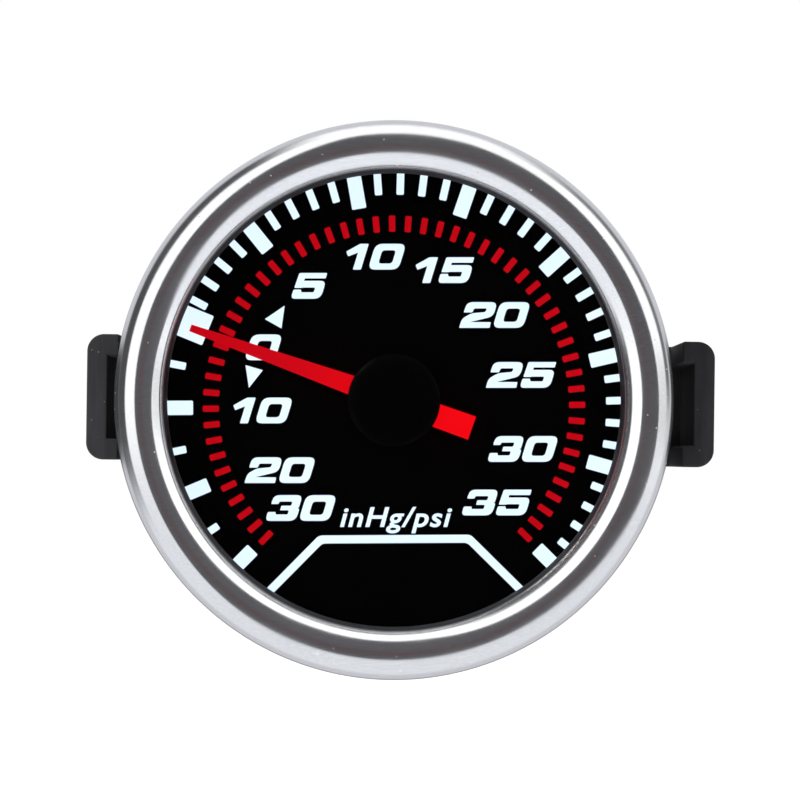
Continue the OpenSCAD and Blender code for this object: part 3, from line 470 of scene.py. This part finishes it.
for mask, cover, tone in ((smudged, smudge_cover, smudge_tone),
                          (worn["Scratches"], scratch_cover, scratch_tone),
                          (worn["Dust"], dust_cover, dust_tone)):
    shade = blended(tree, maths(tree, "MULTIPLY", mask, cover), shade, tone)
flat_place = node(tree, "VectorMath", {"operation": "MULTIPLY"}, i0=place, i1=(1, 0, 1)).outputs[0]
from_middle = node(tree, "VectorMath", {"operation": "LENGTH"}, i0=flat_place).outputs[1]
# Painted highlight: the colour is raised on the inner flank and lowered a little on the outer
# flank.
painted_highlight = ramp(tree, from_middle, *painted_highlight_gain, crown_r[0] * MM, crown_r[1] * MM)
shade = node(tree, "VectorMath", {"operation": "SCALE"}, i0=shade, i3=painted_highlight).outputs[0]
# Painted shade: the colour of the lip rolled in over the lens is darkened towards a near black.
painted_lip_shade = ramp(tree, from_middle, 1.0, 0.0, lip_shade[0] * MM, lip_shade[1] * MM)
shade = blended(tree, painted_lip_shade, shade, lip_shade_tone)
tree.links.new(shade, shader.inputs["Base Color"])
rough = ramp(tree, lines["Patches"], *polish_range, *NOISE)
rough = maths(tree, "MAXIMUM", rough, maths(tree, "MULTIPLY", worn["Dust"], dust_rough))
rough = maths(tree, "MAXIMUM", rough, maths(tree, "MULTIPLY", painted_lip_shade, lip_rough))
tree.links.new(rough, shader.inputs["Roughness"])
shader.inputs["Metallic"].default_value = 1.0
shader.inputs["Anisotropic"].default_value = 0.75
across_lines = node(tree, "VectorMath", {"operation": "CROSS_PRODUCT"},
                    i0=node(tree, "NewGeometry").outputs["Normal"], i1=(1, 0, 0))
tree.links.new(across_lines.outputs[0], shader.inputs["Tangent"])
cut = maths(tree, "MULTIPLY", worn["Scratches"], 0.5)
bumped(tree, shader, maths(tree, "SUBTRACT", lines["Lines"], cut), BRUSH_DEPTH)
print("bezel finish nodes:", len(tree.nodes))

# %% [markdown]
# Plastic, paint and rubber share one recipe: a dark base colour that drifts a little, a
# fine grain in the normals, and a roughness that follows the grain.

# %% Finishes: plastics, paint and rubber
def moulded(name, colour, rough=(0.4, 0.55), fineness=6000.0, depth=0.00001, drift=0.25,
            shine=0.5, dust=0.1, cells=450.0, draw=None):
    """draw squeezes the grain along an axis, which draws it out into streaks along another."""
    dust_tone, dust_cover = (0.5, 0.49, 0.47, 1), 0.6
    tree, shader, place = blank(name)
    pebbles = use(tree, grain, stretched(tree, place, draw) if draw else place, Fineness=fineness)
    worn = use(tree, marks, place, Cells=cells, Speck=0.075, Share=dust)
    pale = tuple(min(1.0, c * (1 + drift)) for c in colour) + (1,)
    shade = blended(tree, ramp(tree, pebbles["Tone"], 0.0, 1.0, *NOISE), colour + (1,), pale)
    shade = blended(tree, maths(tree, "MULTIPLY", worn["Dust"], dust_cover), shade, dust_tone)
    tree.links.new(shade, shader.inputs["Base Color"])
    tree.links.new(ramp(tree, pebbles["Height"], *rough, *NOISE), shader.inputs["Roughness"])
    shader.inputs["Specular IOR Level"].default_value = shine
    bumped(tree, shader, pebbles["Height"], depth)


moulded("black_can", (0.018, 0.018, 0.019), rough=(0.3, 0.42), fineness=2600.0, depth=0.000008)
moulded("black_rubber", (0.022, 0.021, 0.021), rough=(0.6, 0.75), shine=0.3, dust=0.3)
moulded("black_plastic", (0.02, 0.02, 0.021))
moulded("strap_plastic", (0.027, 0.027, 0.029), rough=(0.45, 0.6), fineness=1400.0,
        depth=0.000012, drift=0.45, shine=0.12, dust=0.3, cells=1400.0, draw=(8, 4, 1))
moulded("dial_black", (0.0008, 0.0008, 0.001), rough=(0.75, 0.85), depth=0.000003, shine=0.03,
        dust=0.0)
moulded("hub_black", (0.0008, 0.0008, 0.001), rough=(0.2, 0.26), depth=0.000002, shine=0.08,
        dust=0.0)
moulded("white_sleeve", (0.78, 0.78, 0.76), drift=0.05)
moulded("lamp_body", (0.85, 0.83, 0.7), drift=0.05)
moulded("circuit_board", (0.02, 0.14, 0.06), rough=(0.25, 0.4), drift=0.5)
print("finishes:", len(finishes))

# %% [markdown]
# Glass and clear plastic bend light by their real index. The lens is smoked: each of its two
# faces takes about a fifth of the light that passes, and the dial's lit print is brighter for
# it. It also has a coating against glare, which leaves a small part of its shine.

# %% Finishes: the smoked lens and the light guide
def clear(name, colour, rough, shine=1.0):
    haze_rough, haze_tone = 0.02, 0.97
    tree, shader, place = blank(name)
    haze = use(tree, grain, place, Fineness=1500.0)
    tree.links.new(ramp(tree, haze["Tone"], rough, rough + haze_rough, *NOISE),
                   shader.inputs["Roughness"])
    tree.links.new(blended(tree, haze["Tone"], tinted(1, colour), tinted(haze_tone, colour)),
                   shader.inputs["Base Color"])
    shader.inputs["Transmission Weight"].default_value = 1.0
    shader.inputs["IOR"].default_value = 1.49
    shader.inputs["Specular Tint"].default_value = (shine, shine, shine, 1)


clear("smoked_lens", (0.78, 0.78, 0.8), 0.0, shine=0.05)
clear("clear_guide", (0.93, 0.95, 0.97), 0.05)

# %% [markdown]
# The print and the pointer glow, lit through the dial from behind. Their colour is mostly
# emission, which drifts a little as real back lighting does, and the pointer fades from its
# tail towards its tip, where less light travels through the plastic.

# %% Finishes: lit print and pointer
def glowing(name, near, far, strength, reach=None):
    """Emission from colour near to colour far, by noise or by the place along the pointer."""
    tree, shader, place = blank(name)
    drift = use(tree, grain, place, Fineness=3000.0)
    if reach:
        along = node(tree, "VectorMath", {"operation": "DOT_PRODUCT"}, i0=place, i1=pointer_way)
        factor = ramp(tree, along.outputs[1], 0.0, 1.0, *reach, smooth=False)
    else:
        factor = ramp(tree, drift["Tone"], 0.0, 1.0, *NOISE)
    tree.links.new(blended(tree, factor, near + (1,), far + (1,)), shader.inputs["Emission Color"])
    shader.inputs["Emission Strength"].default_value = strength
    body_share, body_drift = 0.4, 0.9
    tree.links.new(blended(tree, drift["Tone"], tinted(body_share, near),
                           tinted(body_share * body_drift, near)), shader.inputs["Base Color"])
    shader.inputs["Roughness"].default_value = 0.6
    shader.inputs["Specular IOR Level"].default_value = 0.08


LENS_GAIN = 1.4
rest_angle = math.radians(160.4)
pointer_way = (math.cos(rest_angle), 0, math.sin(rest_angle))
glowing("white_print", (0.70, 0.86, 0.98), (0.75, 0.90, 1.0), LENS_GAIN)
glowing("red_print", (0.43, 0.001, 0.005), (0.47, 0.001, 0.006), LENS_GAIN)
glowing("pointer_red", (0.76, 0.001, 0.004), (0.47, 0.001, 0.006), LENS_GAIN,
        reach=(-0.003, 0.0125))
print("finishes:", len(finishes))

# %% [markdown]
# Every carried-over solid takes the finish of its slot in the record, so nothing is left in
# a plain colour.

# %% Give each node its finish
for name, piece in nodes.items():
    piece.data.materials.clear()
    piece.data.materials.append(finishes[slot_of[name]])
print("slots in use:", len(set(slot_of.values())))

# %% [markdown]
# New pieces end the same way: doubles merged, faces turned outwards, smooth shading with
# crisp edges kept, a finish, and a body to ride on.

# %% A helper that finishes a new piece
WELD = 0.000002


def piece(name, bm, replaced, crisp=38, turn_out=True):
    """Makes an object of a bmesh. It replaces one or more nodes and takes their body and slot."""
    bmesh.ops.remove_doubles(bm, verts=bm.verts, dist=WELD)
    if turn_out:
        bmesh.ops.recalc_face_normals(bm, faces=bm.faces)
    mesh = bpy.data.meshes.new(name)
    bm.to_mesh(mesh)
    bm.free()
    mesh.shade_smooth()
    mesh.set_sharp_from_angle(angle=math.radians(crisp))
    made = bpy.data.objects.new(name, mesh)
    bpy.context.scene.collection.objects.link(made)
    first = replaced[0]
    mesh.materials.append(finishes[slot_of[first]])
    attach(made, nodes[first]["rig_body"])
    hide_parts(*replaced)
    print(name, len(mesh.polygons), "faces")
    return made


def wire(bm, corners, rounding=None, closed=False):
    """Joined points (radius, depth) in millimetres. rounding gives some corners a radius."""
    points = [bm.verts.new((r * MM, y * MM, 0)) for r, y in corners]
    pairs = list(zip(points, points[1:])) + ([(points[-1], points[0])] if closed else [])
    for pair in pairs:
        bm.edges.new(pair)
    for index, radius in (rounding or {}).items():
        bmesh.ops.bevel(bm, geom=[points[index]], offset=radius * MM, offset_type="OFFSET",
                        segments=5, profile=0.5, affect="VERTICES", material=-1)


def spin(bm, steps=128):
    """Spins all that is in the bmesh round the gauge's axis."""
    bmesh.ops.spin(bm, geom=list(bm.verts) + list(bm.edges), cent=(0, 0, 0), axis=(0, 1, 0),
                   angle=math.tau, steps=steps, use_merge=True)
    bmesh.ops.remove_doubles(bm, verts=bm.verts, dist=WELD)
    bmesh.ops.dissolve_degenerate(bm, edges=bm.edges, dist=WELD)


# %% [markdown]
# The bezel is a strip of steel rolled to a half-round and crimped behind the case's flange.
# Its reflections show every facet, so it is spun finely from its own outline: one point
# turned through the half-round, a straight skirt, and the crimped edge.

# %% The bezel
low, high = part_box("bezel_ring")
bezel_r = high.x / MM
crest = low.y / MM
opening_r = 24.3
lip_rear = -4.0
half_round_y = -4.4
tube_r = (bezel_r - opening_r) / 2
tube_mid_r = bezel_r - tube_r
crimp_in_r = 27.4
crimp_round = 0.45
sheet = 0.6

bm = bmesh.new()
start = bm.verts.new((opening_r * MM, half_round_y * MM, 0))
bmesh.ops.spin(bm, geom=[start], cent=(tube_mid_r * MM, half_round_y * MM, 0), axis=(0, 0, 1),
               angle=math.pi, steps=48)
ends = [v for v in bm.verts if len(v.link_edges) == 1]
inner = min(ends, key=lambda v: v.co.x)
outer = max(ends, key=lambda v: v.co.x)
lip = bm.verts.new((opening_r * MM, lip_rear * MM, 0))
foot = bm.verts.new((bezel_r * MM, 0, 0))
edge = bm.verts.new((crimp_in_r * MM, 0, 0))
for pair in ((lip, inner), (outer, foot), (foot, edge)):
    bm.edges.new(pair)
bmesh.ops.bevel(bm, geom=[foot], offset=crimp_round * MM, offset_type="OFFSET", segments=6,
                profile=0.5, affect="VERTICES", material=-1)
spin(bm, 256)
bezel = piece("bezel_shell", bm, ["bezel_ring"], crisp=60)
wall = bezel.modifiers.new("sheet", "SOLIDIFY")
wall.thickness = sheet * MM
wall.offset = -1
wall.use_even_offset = True
print("bezel radius", bezel_r, "crest", crest)

# %% [markdown]
# The hub cap is a low black button with a rolled edge, which catches one thin ring of light.

# %% The hub cap
low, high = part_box("pointer_hub_cap")
cap_r = high.x / MM
cap_front = low.y / MM
cap_rear = high.y / MM
socket_r = 1.02
socket_end = cap_rear - 0.8
front_round, rear_round = 0.5, 0.08

bm = bmesh.new()
wire(bm, [(0, cap_front), (cap_r, cap_front), (cap_r, cap_rear), (socket_r, cap_rear),
          (socket_r, socket_end), (0, socket_end)], {1: front_round, 2: rear_round})
spin(bm, 96)
piece("hub_cap_button", bm, ["pointer_hub_cap"])

# %% [markdown]
# Drawn, stamped and moulded parts never have razor edges. A copy of the solid is merged, its
# flat faces are joined again, and every sharp edge gets a small round that catches light.

# %% A helper that rounds the edges of a solid's copy
FLAT = math.radians(0.5)
SHARP = math.radians(30)


def merged_copy(node_name):
    """A bmesh of a solid, with its doubles merged and its flat faces joined."""
    bm = bmesh.new()
    bm.from_mesh(nodes[node_name].data)
    bmesh.ops.remove_doubles(bm, verts=bm.verts, dist=WELD)
    bmesh.ops.dissolve_limit(bm, angle_limit=FLAT, verts=bm.verts, edges=bm.edges)
    return bm


def softened(node_name, name, width, segments=2, clamp=True):
    bm = merged_copy(node_name)
    sharp = [e for e in bm.edges if e.is_manifold and e.calc_face_angle(0) > SHARP]
    bmesh.ops.bevel(bm, geom=sharp, offset=width * MM, offset_type="OFFSET", segments=segments,
                    profile=0.5, affect="EDGES", material=-1, clamp_overlap=clamp)
    piece(name, bm, [node_name], turn_out=False)


softened("mounting_strap", "strap_moulding", 0.2, 3, clamp=False)
softened("case_can", "drawn_can", 0.12)
softened("inlet_washer", "inlet_washer_ring", 0.08)
softened("lock_washers", "lock_washer_rings", 0.1)

# %% [markdown]
# Nuts are rings of loops joined one to the next. Each loop starts as a circle whose points
# are pushed out to a hexagon or in to knurls, and a chamfer draws the corners back.

# %% Rings of loops
def loop(bm, radius, depth, centre, points, shape=None):
    """A closed loop of edges round Y. shape(angle) gives the radius in millimetres."""
    made = bmesh.ops.create_circle(bm, segments=points, radius=radius * MM,
                                   matrix=Matrix.Rotation(math.radians(90), 4, "X"))["verts"]
    for v in made:
        if shape:
            r = shape(math.atan2(v.co.z, v.co.x))
            v.co.x, v.co.z = v.co.x * r / radius, v.co.z * r / radius
        v.co += Vector((centre[0] * MM, depth(v) * MM if callable(depth) else depth * MM,
                        centre[1] * MM))
    return list({e for v in made for e in v.link_edges})


def joined(bm, loops, closed=True):
    for a, b in zip(loops, loops[1:] + (loops[:1] if closed else [])):
        bmesh.ops.bridge_loops(bm, edges=a + b)


def hexagon(flats):
    return lambda angle: flats / 2 / math.cos((angle + math.pi / 6) % (math.pi / 3) - math.pi / 6)


ROUND = 48


def hex_nut(bm, flats, front, rear, bore, centre):
    """A hexagon nut between two depths, chamfered at both ends, with a countersunk bore."""
    shape, flat_r = hexagon(flats), flats / 2 * 0.96
    drop = math.tan(math.radians(30))
    sink = 0.3

    def chamfered(depth, sign):
        return lambda v: depth + sign * (Vector((v.co.x, v.co.z)).length / MM - flat_r) * drop

    joined(bm, [
        loop(bm, flat_r, front, centre, ROUND),
        loop(bm, flat_r, chamfered(front, 1), centre, ROUND, shape),
        loop(bm, flat_r, chamfered(rear, -1), centre, ROUND, shape),
        loop(bm, flat_r, rear, centre, ROUND),
        loop(bm, bore + sink, rear, centre, ROUND),
        loop(bm, bore, rear - sink, centre, ROUND),
        loop(bm, bore, front + sink, centre, ROUND),
        loop(bm, bore + sink, front, centre, ROUND),
    ])


# %% Hexagon nuts
stud_x = 16
stud_r = 2
base_nut_flats, base_nut_bore = 7, stud_r - 0.1
lock_nut_flats, lock_nut_bore = 12, 3.9
low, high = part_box("stud_base_nuts")
bm = bmesh.new()
for side in (-1, 1):
    hex_nut(bm, base_nut_flats, low.y / MM, high.y / MM, base_nut_bore, (side * stud_x, 0))
piece("base_nut_pair", bm, ["stud_base_nuts"], crisp=25)
low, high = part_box("inlet_lock_nut")
bm = bmesh.new()
hex_nut(bm, lock_nut_flats, low.y / MM, high.y / MM, lock_nut_bore, (0, 0))
piece("lock_nut", bm, ["inlet_lock_nut"], crisp=25)

# %% [markdown]
# A thumb nut is turned by hand, so its rim is cut into straight grooves. The grooves are
# a wave in the loop's radius, and both rims are drawn in by a small chamfer.

# %% Knurled thumb nuts
thumb_r = 5.5
front_face_r, rear_face_r = 4.6, 4.7
rim_chamfer = 0.35
collar_r = 4
collar_h = 1.2
collar_round = 0.15
mouth_r, mouth_front_r, bore_r = stud_r + 0.5, stud_r + 0.35, stud_r + 0.05
mouth_depth, mouth_front_depth = 0.45, 0.3
grooves = 24
groove_depth = 0.42


def knurled(radius):
    return lambda angle: radius - groove_depth * (0.5 - 0.5 * math.cos(angle * grooves)) ** 2


def thumb_nut(node_name, name, centre):
    low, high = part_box(node_name)
    front, rear = low.y / MM, high.y / MM
    points = grooves * 8
    bm = bmesh.new()
    joined(bm, [
        loop(bm, collar_r - collar_round, front, centre, points),
        loop(bm, collar_r, front + collar_round, centre, points),
        loop(bm, collar_r, front + collar_h, centre, points),
        loop(bm, front_face_r, front + collar_h, centre, points),
        loop(bm, thumb_r, front + collar_h + rim_chamfer, centre, points, knurled(thumb_r)),
        loop(bm, thumb_r, rear - rim_chamfer, centre, points, knurled(thumb_r)),
        loop(bm, rear_face_r, rear, centre, points),
        loop(bm, mouth_r, rear, centre, points),
        loop(bm, bore_r, rear - mouth_depth, centre, points),
        loop(bm, bore_r, front + mouth_front_depth, centre, points),
        loop(bm, mouth_front_r, front, centre, points),
    ])
    piece(name, bm, [node_name], crisp=30)


thumb_nut("thumb_nut_left", "thumb_knob_left", (-stud_x, 0))
thumb_nut("thumb_nut_right", "thumb_knob_right", (stud_x, 0))

# %% [markdown]
# A thread is one tooth's outline spun along a helix: each step turns a little and moves a
# little along the shaft, and a whole turn moves by one pitch, so the turns meet. A plane cuts
# the last turn off square, its hole is filled, and the last pitch is drawn in to a chamfer.

# %% Threads
def thread(bm, centre, crest_r, pitch, front, rear, steps=24):
    """crest_rise, crest_end and root_start are shares of the pitch along the tooth."""
    crest_rise, crest_end, root_start = 0.4, 0.52, 0.92
    end_slope = 0.45
    tooth = bmesh.new()
    root_r = crest_r - 0.6 * pitch
    turns = math.ceil((rear - front) / pitch) + 1
    wire(tooth, [(root_r, 0), (crest_r, crest_rise * pitch), (crest_r, crest_end * pitch),
                 (root_r, root_start * pitch), (root_r, pitch)])
    bmesh.ops.spin(tooth, geom=list(tooth.verts) + list(tooth.edges), cent=(0, 0, 0),
                   axis=(0, 1, 0), dvec=(0, pitch * MM / steps, 0), angle=math.tau * turns,
                   steps=steps * turns)
    bmesh.ops.remove_doubles(tooth, verts=tooth.verts, dist=WELD)
    bmesh.ops.translate(tooth, verts=tooth.verts, vec=(0, (front - pitch) * MM, 0))
    for depth, facing in ((front, -1), (rear, 1)):
        whole = list(tooth.verts) + list(tooth.edges) + list(tooth.faces)
        bmesh.ops.bisect_plane(tooth, geom=whole, plane_co=(0, depth * MM, 0),
                               plane_no=(0, facing, 0), clear_outer=True)
    bmesh.ops.holes_fill(tooth, edges=tooth.edges, sides=0)
    for v in tooth.verts:
        past = v.co.y / MM - (rear - pitch)
        if past > 0:
            limit = (crest_r - end_slope * past) * MM
            size = Vector((v.co.x, v.co.z)).length
            if size > limit:
                v.co.x, v.co.z = v.co.x * limit / size, v.co.z * limit / size
    bmesh.ops.translate(tooth, verts=tooth.verts, vec=(centre[0] * MM, 0, centre[1] * MM))
    mesh = bpy.data.meshes.new("tooth")
    bmesh.ops.recalc_face_normals(tooth, faces=tooth.faces)
    tooth.to_mesh(mesh)
    tooth.free()
    bm.from_mesh(mesh)
    bpy.data.meshes.remove(mesh)


# %% The studs
low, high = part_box("mounting_studs")
stud_front, stud_rear = low.y / MM, high.y / MM
head_t, head_r, head_round = 1, 3.5, 0.1
pin_r = 0.2
core_r = stud_r - 0.45
stud_pitch = 0.7
overlap = 0.2

bm = bmesh.new()
for side in (-1, 1):
    centre = (side * stud_x, 0)
    joined(bm, [
        loop(bm, pin_r, stud_front, centre, ROUND),
        loop(bm, head_r - head_round, stud_front, centre, ROUND),
        loop(bm, head_r, stud_front + head_round, centre, ROUND),
        loop(bm, head_r, stud_front + head_t, centre, ROUND),
        loop(bm, core_r, stud_front + head_t, centre, ROUND),
    ], closed=False)
    thread(bm, centre, stud_r, stud_pitch, stud_front + head_t - overlap, stud_rear)
piece("stud_pair", bm, ["mounting_studs"], crisp=25, turn_out=False)

# %% [markdown]
# The hose barb is turned from brass: a threaded shank that the lock nut grips, a hexagon for
# the spanner, and a stem whose three sharp rings hold the hose. The outline is spun, and the
# hexagon and the thread are added as their own closed shapes.

# %% The hose barb
low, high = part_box("inlet_fitting")
shank_front, stem_rear = low.y / MM, high.y / MM
hex_front, hex_rear = 39, 43
hex_flats, hex_bore = 9, 2.1
stem_r, stem_round = 2.2, 0.2
barb_r, barb_l, barb_first, barb_edge = 2.9, 4, 46, 0.12
passage_r = 1.1
inlet_r, inlet_pitch, thread_front = 3.97, 0.9, 37
shank_core_r, shank_end = 3.5, hex_rear - 0.3

bm = bmesh.new()
outline = [(passage_r, stem_rear), (stem_r, stem_rear)]
for i in (2, 1, 0):
    base = barb_first + i * barb_l
    outline += [(barb_r, base + barb_edge), (barb_r - barb_edge, base), (stem_r, base)]
outline += [(stem_r, hex_rear), (shank_core_r, shank_end), (shank_core_r, shank_front),
            (passage_r, shank_front)]
wire(bm, outline, {1: stem_round}, closed=True)
spin(bm, 64)
hex_nut(bm, hex_flats, hex_front, hex_rear, hex_bore, (0, 0))
thread(bm, (0, 0), inlet_r, inlet_pitch, thread_front, hex_front + overlap, steps=48)
piece("hose_barb_fitting", bm, ["inlet_fitting"], crisp=25)

# %% [markdown]
# The grommet is a rubber bobbin pressed into the back of the can, where the lamps' wires
# would leave. Its flanges swell, and its mouth is rounded.

# %% The wire grommet
low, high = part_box("wire_grommet")
grommet_z = (low.z + high.z) / 2 / MM
inner_front, outer_rear = low.y / MM, high.y / MM
flange_r = (high.z - low.z) / 2 / MM
flange_t = 1.6
neck_r, hole_r = 3.5, 1.75

bm = bmesh.new()
wire(bm, [(hole_r, outer_rear), (flange_r, outer_rear), (flange_r, outer_rear - flange_t),
          (neck_r, outer_rear - flange_t), (neck_r, inner_front + flange_t),
          (flange_r, inner_front + flange_t), (flange_r, inner_front), (hole_r, inner_front)],
     {0: 0.5, 1: 0.7, 6: 0.6, 7: 0.4}, closed=True)
spin(bm, 64)
bmesh.ops.translate(bm, verts=bm.verts, vec=(0, 0, grommet_z * MM))
piece("grommet_bobbin", bm, ["wire_grommet"])

# %% [markdown]
# The border line at the foot of the dial bends in two soft corners. In a copy of it, the
# short edges through the print at each bend are rounded, both inside and outside.

# %% The border line
foot_z = -14
bend_angle, bend_slack = math.radians(45), 0.05
bend_round = 0.35


def upright_bend(edge):
    """True for an edge along Y at one of the two bends, in the line's lower part."""
    a, b = (v.co for v in edge.verts)
    level = abs(a.x - b.x) < WELD and abs(a.z - b.z) < WELD
    return (level and a.z < foot_z * MM
            and abs(edge.calc_face_angle(0) - bend_angle) < bend_slack)


bm = merged_copy("dial_border_line")
bends = [e for e in bm.edges if upright_bend(e)]
bmesh.ops.bevel(bm, geom=bends, offset=bend_round * MM, offset_type="OFFSET", segments=4,
                profile=0.5, affect="EDGES", material=-1)
print("bends:", len(bends))
piece("border_line_bent", bm, ["dial_border_line"], turn_out=False)

# %% [markdown]
# The dial also names its two units, plain words in a slanted letter as on any such gauge.
# Blender's own font is made a mesh first and only then set in place.

# %% The unit words
def word(text, middle_x, baseline_z, width, height):
    curve = bpy.data.curves.new("unit_words", "FONT")
    curve.body = text
    curve.shear = 0.24
    curve.offset = 0.02
    curve.space_character = 1.1
    source = bpy.data.objects.new("unit_words_source", curve)
    bpy.context.scene.collection.objects.link(source)
    bpy.context.view_layer.update()
    mesh = bpy.data.meshes.new_from_object(source)
    bpy.data.objects.remove(source)
    xs = [v.co.x for v in mesh.vertices]
    capital = 0.69
    stretch = Matrix.Diagonal((width * MM / (max(xs) - min(xs)), height * MM / capital, 1, 1))
    centre = Matrix.Translation((-(max(xs) + min(xs)) / 2, 0, 0))
    stand = Matrix.Rotation(math.radians(90), 4, "X")
    print_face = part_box("scale_numerals")[0].y
    mesh.transform(Matrix.Translation((middle_x * MM, print_face, baseline_z * MM))
                   @ stand @ stretch @ centre)
    made = bpy.data.objects.new("unit_words", mesh)
    bpy.context.scene.collection.objects.link(made)
    mesh.materials.clear()
    mesh.materials.append(finishes["white_print"])
    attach(made, "housing")
    print("unit words:", len(mesh.polygons), "faces")


word("inHg/psi", 0.21, -13.6, 12.1, 2.05)
